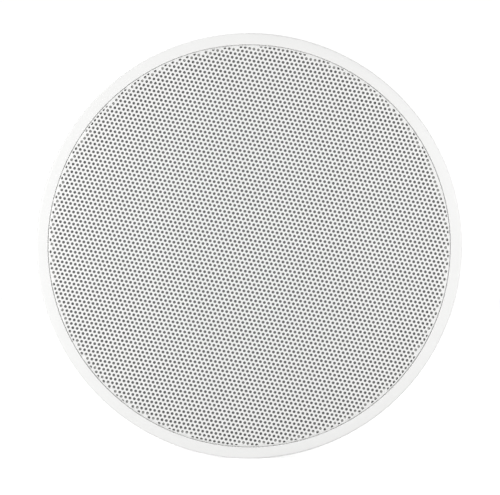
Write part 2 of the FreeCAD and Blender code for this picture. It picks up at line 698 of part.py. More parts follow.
def cone():
    """A bowed paper cone with a flat rim under the surround's foot."""
    edge_r = CONE_R - SURROUND_THICKNESS
    front = cone_arc()
    back = front.translated(Vector(0, 0, -CONE_THICKNESS))
    low = BASKET_FACE_Z - CONE_THICKNESS
    edges = [
        front,
        back,
        line(point(COIL_R, CONE_NECK_Z), point(COIL_R, CONE_NECK_Z - CONE_THICKNESS)),
        line(point(CONE_FACE_R, BASKET_FACE_Z), point(edge_r, BASKET_FACE_Z)),
        line(point(edge_r, BASKET_FACE_Z), point(edge_r, low)),
        line(point(edge_r, low), point(CONE_FACE_R, low)),
    ]
    return turned(edges)


def dust_cap():
    """A dome glued on the cone over the voice coil, of even thickness."""
    r = DUST_CAP_DIAMETER / 2
    foot = cone_face_z(r) + RUNNING_GAP
    sphere_r = (r ** 2 + DUST_CAP_RISE ** 2) / (2 * DUST_CAP_RISE)
    centre_z = foot + DUST_CAP_RISE - sphere_r
    inner_r = sphere_r - DUST_CAP_THICKNESS
    inner_foot_r = math.sqrt(inner_r ** 2 - (foot - centre_z) ** 2)

    def dome(radius, foot_r):
        tilt = math.asin(foot_r / radius) / 2
        middle = point(radius * math.sin(tilt), centre_z + radius * math.cos(tilt))
        return arc(point(0, centre_z + radius), middle, point(foot_r, foot))

    edges = [
        dome(sphere_r, r),
        dome(inner_r, inner_foot_r),
        line(point(r, foot), point(inner_foot_r, foot)),
        line(point(0, centre_z + sphere_r), point(0, centre_z + inner_r)),
    ]
    return turned(edges)


def coil_former():
    return ring(FORMER_INNER_R, COIL_R, WINDING_Z - FORMER_TAIL, CONE_NECK_Z + FORMER_FRONT)


def voice_coil():
    return ring(COIL_R, WINDING_R, WINDING_Z, WINDING_Z + WINDING_HEIGHT)


def spider():
    """A corrugated cloth disc from a collar on the coil former to a foot on the basket's ledge."""
    inner_r = COIL_R + SPIDER_COLLAR
    outer_r = SPIDER_LEDGE_R + SPIDER_FOOT_STEP
    foot_r = SPIDER_SEAT_R - SPIDER_FOOT_STEP
    low = SPIDER_SEAT_Z
    high = SPIDER_SEAT_Z + SPIDER_THICKNESS
    step = (outer_r - inner_r) / (2 * SPIDER_WAVES)
    edges = []
    for level in (low, high):
        for k in range(2 * SPIDER_WAVES):
            r = inner_r + k * step
            peak = level + (SPIDER_WAVE_HEIGHT if k % 2 else -SPIDER_WAVE_HEIGHT)
            edges.append(arc(point(r, level), point(r + step / 2, peak), point(r + step, level)))
        edges.append(line(point(outer_r, level), point(foot_r, level)))
        edges.append(line(point(COIL_R, level), point(inner_r, level)))
    edges.append(line(point(COIL_R, low), point(COIL_R, high)))
    edges.append(line(point(foot_r, low), point(foot_r, high)))
    return turned(edges)


# Motor

def top_plate():
    bore = WINDING_R + TOP_PLATE_GAP
    r = PLATE_DIAMETER / 2
    corners = [
        (bore, TOP_PLATE_Z),
        (r - PLATE_CHAMFER, TOP_PLATE_Z),
        (r, TOP_PLATE_Z - PLATE_CHAMFER),
        (r, MAGNET_RING_Z),
        (bore, MAGNET_RING_Z),
    ]
    return turned(polygon_edges(corners))


def magnet_ring():
    return ring(MAGNET_RING_BORE / 2, MAGNET_RING_DIAMETER / 2, BACK_PLATE_Z, MAGNET_RING_Z)


def yoke():
    """The back plate and the vented pole piece, forged as one."""
    pole_r = FORMER_INNER_R - POLE_GAP
    vent_r = POLE_VENT_DIAMETER / 2
    r = PLATE_DIAMETER / 2
    top = TOP_PLATE_Z + POLE_RISE
    corners = [
        (vent_r, MOTOR_END_Z),
        (r - PLATE_CHAMFER, MOTOR_END_Z),
        (r, MOTOR_END_Z + PLATE_CHAMFER),
        (r, BACK_PLATE_Z),
        (pole_r, BACK_PLATE_Z),
        (pole_r, top - PLATE_CHAMFER),
        (pole_r - PLATE_CHAMFER, top),
        (vent_r, top),
    ]
    return turned(polygon_edges(corners))


# Solder tags and leads, drawn beside +X and turned to the terminals' angle

def rivet_holes():
    low = TAG_FACE_Z - OVERCUT
    high = SPIDER_SEAT_Z + OVERCUT
    hole = disc(RIVET_DIAMETER / 2, low, high, rivet_r(), RIVET_SPACING / 2)
    return both_sides(hole)


def rivet_r():
    return SPIDER_SEAT_R - RIVET_INSET


def strip_rivets():
    """Two rivets, flush with the spider ledge, that hold the strip behind it."""
    y = RIVET_SPACING / 2
    shank = disc(RIVET_DIAMETER / 2, TAG_FACE_Z, SPIDER_SEAT_Z, rivet_r(), y)
    head = disc(RIVET_HEAD_DIAMETER / 2, TAG_FACE_Z - RIVET_HEAD_HEIGHT, TAG_FACE_Z, rivet_r(), y)
    return group(both_sides(shank.fuse(head)))


def terminal_strip():
    """A hard-paper strip behind the spider ledge that carries the solder tags."""
    inner = SPIDER_LEDGE_R + 2 * BASKET_BEND
    half = STRIP_WIDTH / 2
    strip = block(inner, STRIP_OUTER_R, -half, half, TAG_FACE_Z, STRIP_FACE_Z)
    return turn(strip, TERMINAL_ANGLE).cut(rivet_holes())


def terminal_tags():
    half = TAG_WIDTH / 2
    y = TAG_SPACING / 2
    tip = STRIP_OUTER_R + TAG_BLADE
    tag = block(STRIP_OUTER_R - TAG_FOOT, tip, y - half, y + half, TAG_FACE_Z - TAG_THICKNESS, TAG_FACE_Z)
    upright = [e for e in tag.Edges if e.BoundBox.ZLength > TAG_THICKNESS / 2]
    tag = tag.makeChamfer(TAG_CHAMFER, [e for e in upright if e.BoundBox.XMin > STRIP_OUTER_R])
    return group(both_sides(tag))


def tinsel_leads():
    """Braided leads from the strip, through a basket window, to the back of the cone."""
    r = TINSEL_DIAMETER / 2
    start_r = STRIP_OUTER_R - r
    end_z = cone_face_z(TINSEL_REACH_R) - CONE_THICKNESS - r
    rise_z = STRIP_FACE_Z + (end_z - STRIP_FACE_Z) * TINSEL_RISE_SHARE
    corners = [(start_r, STRIP_FACE_Z), (start_r, rise_z), (TINSEL_REACH_R, end_z)]
    lead = tube(rounded_run(corners, [TINSEL_BEND]), TINSEL_DIAMETER)
    lead.translate(Vector(0, TAG_SPACING / 2, 0))
    return group(both_sides(lead))


def connectors():
    """Push-on sleeves over the tags' blades."""
    y = TAG_SPACING / 2
    slot_half = TAG_WIDTH / 2
    half = slot_half + CONNECTOR_WALL
    tall = CONNECTOR_HEIGHT / 2
    sleeve = block(STRIP_OUTER_R + SEAT_GAP, CONNECTOR_END_R, y - half, y + half, CONNECTOR_Z - tall,
                   CONNECTOR_Z + tall)
    sleeve = sleeve.makeFillet(tall / 2, [e for e in sleeve.Edges if e.BoundBox.XLength > tall])
    slot = block(STRIP_OUTER_R, STRIP_OUTER_R + TAG_BLADE, y - slot_half, y + slot_half,
                 TAG_FACE_Z - TAG_THICKNESS, TAG_FACE_Z)
    return group(both_sides(sleeve.cut(slot)))


def hook_up_wires():
    """Insulated wires from the terminal block's end, in one wide bend, to the connectors."""
    start_r = BLOCK_INNER_R + BLOCK_EDGE_RADIUS + WIRE_DIAMETER / 2
    bend = BLOCK_END_Z - CONNECTOR_Z - WIRE_STRAIGHT
    corners = [(start_r, BLOCK_END_Z), (start_r, CONNECTOR_Z), (CONNECTOR_END_R, CONNECTOR_Z)]
    wire = tube(rounded_run(corners, [bend]), WIRE_DIAMETER)
    wire.translate(Vector(0, TAG_SPACING / 2, 0))
    return both_sides(wire)


# Spring terminal block, drawn on +X and turned to the terminals' angle

def block_ear(side):
    """A rounded ear beside the block, with its screw hole; side is 1 or -1."""
    low = EAR_FACE_Z - EAR_THICKNESS
    half = EAR_WIDTH / 2
    ys = sorted([side * (BLOCK_HALF_WIDTH - BLOCK_EDGE_RADIUS), side * EAR_Y])
    web = block(EAR_R - half, EAR_R + half, ys[0], ys[1], low, EAR_FACE_Z)
    hole_r = DRIVER_SCREW_DIAMETER / 2 + SCREW_HOLE_GAP
    hole = disc(hole_r, low - OVERCUT, EAR_FACE_Z + OVERCUT, EAR_R, side * EAR_Y)
    return web.fuse(disc(half, low, EAR_FACE_Z, EAR_R, side * EAR_Y)).cut(hole)


def button_pocket(side):
    """The pocket that a button slides in, and the wire hole beside it; side is 1 or -1."""
    y = side * BUTTON_Y
    wide = BUTTON_WIDTH / 2 + SEAT_GAP
    tall = BUTTON_RADIAL / 2 + SEAT_GAP
    low = BLOCK_END_Z - OVERCUT
    roof = BLOCK_END_Z + BUTTON_POCKET_DEPTH
    pocket = block(BUTTON_R - tall, BUTTON_R + tall, y - wide, y + wide, low, roof)
    entry = disc(WIRE_ENTRY_DIAMETER / 2, low, BLOCK_END_Z + WIRE_ENTRY_DEPTH, WIRE_ENTRY_R, y)
    return [pocket, entry]


def terminal_block():
    """A moulded block on ears, with two button pockets and two wire holes."""
    body = block(BLOCK_INNER_R, BLOCK_OUTER_R, -BLOCK_HALF_WIDTH, BLOCK_HALF_WIDTH, BLOCK_END_Z, SHELF_BACK_Z)
    seat = [e for e in body.Edges if e.BoundBox.ZMin > SHELF_BACK_Z - BLOCK_ROOF]
    rounded = [e for e in body.Edges if not any(e.isSame(s) for s in seat)]
    body = body.makeFillet(BLOCK_EDGE_RADIUS, rounded)
    body = body.fuse([block_ear(1), block_ear(-1)]).cut(button_pocket(1) + button_pocket(-1))
    return turn(body.removeSplitter(), TERMINAL_ANGLE)


def push_buttons():
    """Push buttons with a thumb hollow in the end."""
    wide = BUTTON_WIDTH / 2
    tall = BUTTON_RADIAL / 2
    end = BLOCK_END_Z - BUTTON_TRAVEL - BUTTON_LIP
    stem = BLOCK_END_Z + BUTTON_STEM
    body = block(BUTTON_R - tall, BUTTON_R + tall, BUTTON_Y - wide, BUTTON_Y + wide, end, stem)
    thumb_r = (wide ** 2 + BUTTON_DIP ** 2) / (2 * BUTTON_DIP)
    start = Vector(BUTTON_R - tall - OVERCUT, BUTTON_Y, end + BUTTON_DIP - thumb_r)
    thumb = Part.makeCylinder(thumb_r, BUTTON_RADIAL + 2 * OVERCUT, start, Vector(1, 0, 0))
    return both_sides(body.cut(thumb))


def button_springs():
    """Folded leaf springs between each button and the end of its pocket."""
    half = BUTTON_WIDTH / 2 - SEAT_GAP
    low = BLOCK_END_Z + BUTTON_STEM
    high = SPRING_ROOM - SPRING_STRIP
    corners = [(half, 0), (-half, 0), (half, high), (-half, high)]
    shape = outline_face(sheet_edges(corners, SPRING_STRIP, SPRING_BEND)).extrude(Vector(0, SPRING_WIDTH, 0))
    shape.rotate(CENTRE, AXIS, 90)
    shape.translate(Vector(BUTTON_R + SPRING_WIDTH / 2, BUTTON_Y, low))
    return both_sides(shape)


def terminal_screws():
    """Screws through the block's ears, heads to the back."""
    screw = pan_head_screw(EAR_R, EAR_Y, EAR_FACE_Z - EAR_THICKNESS, DRIVER_SCREW_DIAMETER, EAR_SCREW_LENGTH,
                           DRIVER_HEAD_DIAMETER, DRIVER_HEAD_HEIGHT, way=-1)
    return group(both_sides(screw))


# The whole part

def pieces():
    """Every piece by its node name."""
    wires = hook_up_wires()
    buttons = push_buttons()
    springs = button_springs()
    made = {
        "mounting_frame": mounting_frame(),
        "grille": grille(),
        "scrim": scrim(),
        "grille_magnets": grille_magnets(),
        "driver_gasket": driver_gasket(),
        "basket": basket(),
        "driver_screws": driver_screws(),
        "trim_ring": trim_ring(),
        "surround": surround(),
        "cone": cone(),
        "dust_cap": dust_cap(),
        "coil_former": coil_former(),
        "voice_coil": voice_coil(),
        "spider": spider(),
        "top_plate": top_plate(),
        "magnet_ring": magnet_ring(),
        "yoke": yoke(),
        "terminal_strip": terminal_strip(),
        "strip_rivets": strip_rivets(),
        "terminal_tags": terminal_tags(),
        "tinsel_leads": tinsel_leads(),
        "connectors": connectors(),
        "wire_red": wires[0],
        "wire_black": wires[1],
        "terminal_block": terminal_block(),
        "button_red": buttons[0],
        "button_black": buttons[1],
        "spring_red": springs[0],
        "spring_black": springs[1],
        "terminal_screws": terminal_screws(),
    }
    for number, angle in enumerate(CLAMP_ANGLES, start=1):
        made[f"clamp_screw_{number}"] = turn(clamp_screw(), angle)
        made[f"clamp_insert_{number}"] = turn(clamp_insert(), angle)
        made[f"clamp_dog_{number}"] = turn(clamp_dog(), angle)
    return made


def main():
    os.makedirs("parts", exist_ok=True)
    for name, shape in pieces().items():
        shape.rotate(CENTRE, Vector(1, 0, 0), 90)
        shape.exportStep(os.path.join("parts", name + ".step"))
        print(f"{name}: {len(shape.Solids)} solids, {shape.Volume / 1000:.2f} cm3, valid {shape.isValid()}")


main()
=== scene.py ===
"""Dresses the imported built-in subwoofer: perforated grille, cloth, moving parts, finishes and studio."""

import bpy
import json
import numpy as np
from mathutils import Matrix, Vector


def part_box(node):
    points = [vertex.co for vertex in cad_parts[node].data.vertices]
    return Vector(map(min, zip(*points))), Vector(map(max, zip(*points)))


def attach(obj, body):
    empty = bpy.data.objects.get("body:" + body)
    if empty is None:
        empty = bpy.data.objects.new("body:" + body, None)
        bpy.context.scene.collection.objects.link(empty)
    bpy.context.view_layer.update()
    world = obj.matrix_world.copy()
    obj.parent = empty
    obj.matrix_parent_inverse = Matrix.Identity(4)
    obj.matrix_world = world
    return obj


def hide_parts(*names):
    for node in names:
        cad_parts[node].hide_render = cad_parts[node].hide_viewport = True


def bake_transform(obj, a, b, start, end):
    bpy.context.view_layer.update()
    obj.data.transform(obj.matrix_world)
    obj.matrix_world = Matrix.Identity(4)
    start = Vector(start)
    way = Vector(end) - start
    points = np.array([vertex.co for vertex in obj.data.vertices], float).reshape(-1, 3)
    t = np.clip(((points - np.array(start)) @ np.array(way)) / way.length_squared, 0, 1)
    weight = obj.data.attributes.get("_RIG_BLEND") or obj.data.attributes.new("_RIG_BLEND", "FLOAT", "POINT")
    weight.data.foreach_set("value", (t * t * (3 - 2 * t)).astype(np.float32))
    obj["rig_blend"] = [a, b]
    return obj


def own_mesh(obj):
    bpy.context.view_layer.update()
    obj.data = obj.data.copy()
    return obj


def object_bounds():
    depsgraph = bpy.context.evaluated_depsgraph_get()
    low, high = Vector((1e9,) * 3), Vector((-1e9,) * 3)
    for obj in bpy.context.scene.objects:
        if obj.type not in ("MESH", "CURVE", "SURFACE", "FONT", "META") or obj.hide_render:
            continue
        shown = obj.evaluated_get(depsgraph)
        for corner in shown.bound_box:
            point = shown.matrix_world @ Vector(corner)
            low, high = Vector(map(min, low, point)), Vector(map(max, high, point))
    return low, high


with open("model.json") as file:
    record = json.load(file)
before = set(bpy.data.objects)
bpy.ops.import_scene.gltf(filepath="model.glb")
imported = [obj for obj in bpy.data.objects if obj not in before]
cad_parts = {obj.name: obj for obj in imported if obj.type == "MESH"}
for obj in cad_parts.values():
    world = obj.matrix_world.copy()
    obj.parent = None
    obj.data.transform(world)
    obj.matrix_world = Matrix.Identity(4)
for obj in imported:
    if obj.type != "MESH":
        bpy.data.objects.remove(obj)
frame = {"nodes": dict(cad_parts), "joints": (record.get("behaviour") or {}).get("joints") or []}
CAD_BOX = [list(corner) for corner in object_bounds()]

import json
import math

import bmesh
import bpy
import numpy as np
from bpy.props import FloatProperty, FloatVectorProperty, IntProperty, PointerProperty
from mathutils import Vector

bl_info = {
    "name": "Built-in subwoofer",
    "version": (1, 0, 0),
    "blender": (4, 5, 0),
    "location": "View3D > Sidebar > Subwoofer",
    "description": "Dresses a packed built-in subwoofer with its grille, cloth, moving parts and finishes",
    "category": "Object",
}

MM = 0.001

# Sizes that the part's source gives, in metres unless the name says otherwise
GRILLE_LOW, GRILLE_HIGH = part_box("grille")
SCRIM_LOW, SCRIM_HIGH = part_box("scrim")
SURROUND_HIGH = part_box("surround")[1]
SPIDER_LOW, SPIDER_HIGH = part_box("spider")
RING_FACE = -6 * MM
SURROUND_THICKNESS = 0.9 * MM
ROLL_CENTRE_R = 81.75 * MM
ROLL_R = 6.75 * MM
CONE_FACE_R = 70 * MM
SPIDER_COLLAR_R = 22.3 * MM
SPIDER_OUTER_R = 52.5 * MM
COIL_R = 19.7 * MM
SPIDER_THICKNESS = 0.7 * MM
SPIDER_WAVES = 4
SPIDER_WAVE_HEIGHT = 1.7 * MM
TINSEL_DIAMETER = 1.6 * MM
TINSEL_ROUTE_MM = ((57.8, -67.2), (47.5, -67.2), (34.94, -42.98))
TINSEL_SIDES_MM = (-9.0, 9.0)
OPENING_R = 134.8 * MM
CLAMPS = 4
CLAMP_LEAD = 2.25 * MM
CLAMP_SCREW_R = 2.5 * MM

# Sizes of details that only the dressed part has
OPENING_EDGE_R = 0.45 * MM
HOLE_MARGIN = 0.2 * MM
SHEET_BEND_DEGREES = 75
GLUE_WIDTH = 1.7 * MM
FELT_EDGE_R = 0.5 * MM
GASKET_EDGE_R = 0.3 * MM
STRANDS = 5
STRAND_SHARE = 0.22
STRAND_LAY = 4.5 * MM
THREAD_DEPTH_SHARE = 0.32

# How finely shapes are drawn: points closer than the gap are one, and sharper turns stay edges
MERGE_GAP = 0.001 * MM
CREASE_DEGREES = 40
METAL_CREASE_DEGREES = 35
GRILLE_SEGMENTS = 360
CLOTH_SEGMENTS = 180
CLOTH_RINGS = 24
SURROUND_SEGMENTS = 160
SPIDER_SEGMENTS = 120
POINTS_PER_WAVE = 12


# Settings that a user would change

def linear(code):
    """Linear colour of an sRGB hex value."""
    channels = [int(code[i:i + 2], 16) / 255 for i in (1, 3, 5)]
    low = [c / 12.92 for c in channels]
    high = [((c + 0.055) / 1.055) ** 2.4 for c in channels]
    return tuple(a if c <= 0.04045 else b for c, a, b in zip(channels, low, high)) + (1.0,)


class GrilleSettings(bpy.types.PropertyGroup):
    """Sizes of the perforated sheet."""

    pitch: FloatProperty(
        name="Hole pitch", description="Distance between holes along a row",
        default=2.9656 * MM, unit="LENGTH", precision=5)
    row_spacing: FloatProperty(
        name="Row spacing", description="Distance between neighbouring rows",
        default=2.6277 * MM, unit="LENGTH", precision=5)
    hole_diameter: FloatProperty(
        name="Hole diameter", description="Diameter of a punched hole",
        default=1.95 * MM, unit="LENGTH", precision=5)
    hole_sides: IntProperty(
        name="Hole sides", description="Sides of the polygon that draws a hole",
        default=10, min=6, max=16)
    row_angle: FloatProperty(
        name="Row angle", description="Angle of the rows to the horizontal",
        default=math.radians(-10.274), subtype="ANGLE")
    row_shift: FloatProperty(
        name="Row shift", description="How far a row of holes is from the centre along the rows",
        default=0.442 * MM, unit="LENGTH", precision=5)
    sheet: FloatProperty(
        name="Sheet thickness", description="Thickness of the steel",
        default=0.9 * MM, unit="LENGTH", precision=5)
    bend: FloatProperty(
        name="Rim bend", description="Outside radius of the rolled rim",
        default=1.3 * MM, unit="LENGTH", precision=5)


class FinishSettings(bpy.types.PropertyGroup):
    """Colours of the finishes that show most."""

    frame_colour: FloatVectorProperty(
        name="Frame", description="Colour of the moulded frame", subtype="COLOR", size=3,
        default=linear("#f2f2f1")[:3], min=0, max=1)
    grille_colour: FloatVectorProperty(
        name="Grille", description="Colour of the grille's powder coat", subtype="COLOR", size=3,
        default=linear("#f3f3f2")[:3], min=0, max=1)
    scrim_colour: FloatVectorProperty(
        name="Cloth", description="Colour of the cloth behind the holes", subtype="COLOR", size=3,
        default=linear("#969696")[:3], min=0, max=1)


class StageSettings(bpy.types.PropertyGroup):
    """Camera, floor and lights."""

    lens: FloatProperty(
        name="Lens", description="Focal length of the camera", default=135, unit="CAMERA")
    view_width: FloatProperty(
        name="View width", description="Width that the picture spans at the frame's face",
        default=334.5 * MM, unit="LENGTH", precision=5)
    floor_glow: FloatProperty(
        name="Floor glow", description="Strength of the light from under the floor", default=0.44)
    tent_front: FloatProperty(
        name="Tent, front", description="Strength of the light tent before and behind", default=0.21)
    tent_side: FloatProperty(
        name="Tent, sides", description="Strength of the light tent all round the axis", default=0.935)
    key: FloatProperty(
        name="Key light", description="Power of the soft box at the left", default=2.5, unit="POWER")
    fill: FloatProperty(
        name="Fill light", description="Power of the soft box at the right", default=1.96, unit="POWER")
    rear: FloatProperty(
        name="Rear light", description="Power of the soft box behind", default=10, unit="POWER")


# Nodes and meshes

def per_mm(size):
    """Texture scale, on coordinates in metres, of a pattern whose repeat is this many millimetres."""
    return 1 / (size * MM)


def shade(colour, factor):
    """A colour made darker or lighter by a factor."""
    return tuple(min(1.0, c * factor) for c in colour[:3]) + (1.0,)


def add_node(tree, kind, inputs=None, **settings):
    """Adds a node with its settings and links. An input is a value, another node or its output, or a
    list of nodes; a node on its own means its first output."""
    node = tree.nodes.new(kind)
    for name, value in settings.items():
        setattr(node, name, value)
    for key, value in (inputs or {}).items():
        for item in value if isinstance(value, list) else [value]:
            source = item.outputs[0] if isinstance(item, bpy.types.Node) else item
            if isinstance(source, bpy.types.NodeSocket):
                tree.links.new(source, node.inputs[key])
            else:
                node.inputs[key].default_value = source
    return node


def new_finish(name, colour, roughness, metallic=0.0, **sockets):
    """A material with one shader: returns it, its tree, its shader and its coordinates in metres."""
    material = bpy.data.materials.new(name)
    material.use_nodes = True
    tree = material.node_tree
    tree.nodes.clear()
    shader = add_node(tree, "ShaderNodeBsdfPrincipled",
                      {"Base Color": colour, "Roughness": roughness, "Metallic": metallic, **sockets})
    add_node(tree, "ShaderNodeOutputMaterial", {"Surface": shader})
    place = add_node(tree, "ShaderNodeTexCoord").outputs["Object"]
    return material, tree, shader, place


def vary(tree, shader, tone=None, sheen=None, relief=None):
    """Makes a surface uneven by patterns that go from 0 to 1. Tone is a pattern with its dark and light
    colour, sheen one with the least and most roughness, relief one with its depth in mm and strength."""
    if tone:
        pattern, dark, light = tone
        mixed = add_node(tree, "ShaderNodeMix", {0: pattern, 6: dark, 7: light}, data_type="RGBA")
        tree.links.new(mixed.outputs[2], shader.inputs["Base Color"])
    if sheen:
        pattern, least, most = sheen
        spread = add_node(tree, "ShaderNodeMapRange", {"Value": pattern, "To Min": least, "To Max": most})
        tree.links.new(spread.outputs[0], shader.inputs["Roughness"])
    if relief:
        pattern, depth_mm, strength = relief
        bump = add_node(tree, "ShaderNodeBump",
                        {"Height": pattern, "Distance": depth_mm * MM, "Strength": strength})
        tree.links.new(bump.outputs[0], shader.inputs["Normal"])


def link_piece(name, mesh):
    """A piece at the origin that shows this mesh."""
    piece = bpy.data.objects.new(name, mesh)
    bpy.context.scene.collection.objects.link(piece)
    return piece


def set_finish(piece, material):
    """Shows the whole piece in one material."""
    piece.data.materials.clear()
    piece.data.materials.append(material)


def finish_nodes(material, *names):
    """Shows these CAD nodes in one material."""
    for name in names:
        set_finish(frame["nodes"][name], material)


def stand_in(piece, body, node):
    """Puts a piece in a CAD node's stead: it moves with the body, and the CAD node is hidden."""
    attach(piece, body)
    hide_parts(node)


def smooth(mesh, degrees):
    """Shades a mesh smooth, with sharp edges where it turns by more than this angle."""
    mesh.shade_smooth()
    mesh.set_sharp_from_angle(angle=math.radians(degrees))


def merge_points(mesh, turn_outwards):
    """Merges doubles, and turns the faces of a closed mesh outwards if asked to."""
    shape = bmesh.new()
    shape.from_mesh(mesh)
    bmesh.ops.remove_doubles(shape, verts=shape.verts, dist=MERGE_GAP)
    if turn_outwards:
        bmesh.ops.recalc_face_normals(shape, faces=shape.faces)
    shape.to_mesh(mesh)
    shape.free()


def arc_points(centre, radius, start, end, steps):
    """Points of an arc in a section, angles in degrees from outwards to the front."""
    angles = [math.radians(start + (end - start) * k / steps) for k in range(steps + 1)]
    return [(centre[0] + radius * math.cos(a), centre[1] - radius * math.sin(a)) for a in angles]


def turned_ring(name, outline, segments):
    """A ring whose section is a closed outline of (radius, depth), turned about the axis."""
    count = len(outline)
    turns = [2 * math.pi * k / segments for k in range(segments)]
    points = [(r * math.cos(a), y, r * math.sin(a)) for a in turns for r, y in outline]
    faces = []
    for k in range(segments):
        here = k * count
        there = (k + 1) % segments * count
        for i in range(count):
            j = (i + 1) % count
            faces.append((here + i, here + j, there + j, there + i))
    mesh = bpy.data.meshes.new(name)
    mesh.from_pydata(points, [], faces)
    merge_points(mesh, turn_outwards=True)
    smooth(mesh, CREASE_DEGREES)
    return link_piece(name, mesh)


def merged_copy(name, node):
    """A piece with a merged copy of a CAD node's mesh."""
    mesh = frame["nodes"][node].data.copy()
    mesh.name = name
    merge_points(mesh, turn_outwards=False)
    return link_piece(name, mesh)


def settle(piece, modifier):
    """Makes what a modifier shows the piece's own mesh, and removes the modifier."""
    shown = piece.evaluated_get(bpy.context.evaluated_depsgraph_get())
    piece.data = bpy.data.meshes.new_from_object(shown)
    piece.modifiers.remove(modifier)


def softened_copy(name, node, radius):
    """A copy of a CAD node with its edges rounded, for felt and foam."""
    piece = merged_copy(name, node)
    bevel = piece.modifiers.new("soft_edges", "BEVEL")
    bevel.width = radius
    bevel.segments = 2
    bevel.limit_method = "ANGLE"
    bevel.angle_limit = math.radians(CREASE_DEGREES)
    settle(piece, bevel)
    smooth(piece.data, CREASE_DEGREES)
    return piece


def grow(name, tree, sizes, start=None):
    """Runs a node tree with these sizes, on a curve or on nothing, and returns a plain mesh piece."""
    holder = link_piece(name + "_growing", start or bpy.data.meshes.new(name))
    modifier = holder.modifiers.new("shape", "NODES")
    modifier.node_group = tree
    for item in tree.interface.items_tree:
        if item.in_out == "INPUT" and item.name in sizes:
            modifier[item.identifier] = sizes[item.name]
    mesh = bpy.data.meshes.new_from_object(holder.evaluated_get(bpy.context.evaluated_depsgraph_get()))
    mesh.name = name
    holder.modifiers.remove(modifier)
    bpy.data.objects.remove(holder)
    return link_piece(name, mesh)


def new_tree(name, **sizes):
    """A geometry tree with named inputs, given by type: returns it, its inputs and its output node."""
    tree = bpy.data.node_groups.new(name, "GeometryNodeTree")
    tree.interface.new_socket("Geometry", in_out="INPUT", socket_type="NodeSocketGeometry")
    for kind, sockets in sizes.items():
        for socket in sockets:
            tree.interface.new_socket(socket, in_out="INPUT", socket_type=f"NodeSocket{kind}")
    tree.interface.new_socket("Geometry", in_out="OUTPUT", socket_type="NodeSocketGeometry")
    return tree, tree.nodes.new("NodeGroupInput").outputs, tree.nodes.new("NodeGroupOutput")


def close_tree(tree, shape, material, output):
    """Ends a tree: its instances made real, and its material set."""
    real = add_node(tree, "GeometryNodeRealizeInstances", {"Geometry": shape})
    painted = add_node(tree, "GeometryNodeSetMaterial", {"Geometry": real, "Material": material})
    tree.links.new(painted.outputs[0], output.inputs[0])


# Finishes

def moulded_plastic(name, colour, roughness, grain_mm, depth_mm, specks=0.04):
    """A moulded thermoplastic: the tool's spark texture as fine grain, and a slightly uneven sheen."""
    material, tree, shader, place = new_finish(name, colour, roughness, IOR=1.53)
    grain = add_node(tree, "ShaderNodeTexNoise",
                     {"Vector": place, "Scale": per_mm(grain_mm), "Detail": 3.0})
    flow = add_node(tree, "ShaderNodeTexNoise", {"Vector": place, "Scale": per_mm(40), "Detail": 2.0})
    vary(tree, shader, tone=(grain, shade(colour, 1 - specks), shade(colour, 1 + specks)),
         sheen=(flow, roughness - 0.05, roughness + 0.06), relief=(grain, depth_mm, 0.6))
    return material


def coated_steel(name, colour, roughness, peel_mm, depth_mm):
    """Sheet steel with a baked powder or paint film: orange peel, and a soft gloss."""
    material, tree, shader, place = new_finish(name, colour, roughness, IOR=1.5)
    peel = add_node(tree, "ShaderNodeTexNoise", {"Vector": place, "Scale": per_mm(peel_mm), "Detail": 2.0})
    cloud = add_node(tree, "ShaderNodeTexNoise", {"Vector": place, "Scale": per_mm(25), "Detail": 2.0})
    vary(tree, shader, tone=(cloud, shade(colour, 0.975), colour),
         sheen=(cloud, roughness - 0.04, roughness + 0.05), relief=(peel, depth_mm, 0.5))
    return material


def plated_metal(name, colour, roughness, marks_mm):
    """Small metal parts as plated or drawn: bright, with a fine uneven polish and faint handling marks."""
    material, tree, shader, place = new_finish(name, colour, roughness, metallic=1.0)
    polish = add_node(tree, "ShaderNodeTexNoise",
                      {"Vector": place, "Scale": per_mm(marks_mm), "Detail": 4.0})
    vary(tree, shader, tone=(polish, shade(colour, 0.86), colour),
         sheen=(polish, roughness - 0.1, roughness + 0.14), relief=(polish, 0.02, 0.4))
    return material


def turned_steel(name, colour, roughness, feed_mm):
    """Steel plates faced on a lathe, then plated: fine rings about the axis. The feed marks, really
    about 0.15 mm apart, are drawn coarser so that they show."""
    material, tree, shader, place = new_finish(name, colour, roughness, metallic=1.0)
    flat = add_node(tree, "ShaderNodeVectorMath", {0: place, 1: (1.0, 0.0, 1.0)}, operation="MULTIPLY")
    radius = add_node(tree, "ShaderNodeVectorMath", {0: flat}, operation="LENGTH")
    rings = add_node(tree, "ShaderNodeTexNoise",
                     {"W": radius.outputs["Value"], "Scale": per_mm(feed_mm), "Detail": 3.0},
                     noise_dimensions="1D")
    stain = add_node(tree, "ShaderNodeTexNoise", {"Vector": place, "Scale": per_mm(18), "Detail": 4.0})
    vary(tree, shader, tone=(stain, shade(colour, 0.8), colour),
         sheen=(rings, roughness - 0.12, roughness + 0.16), relief=(rings, 0.03, 0.5))
    return material


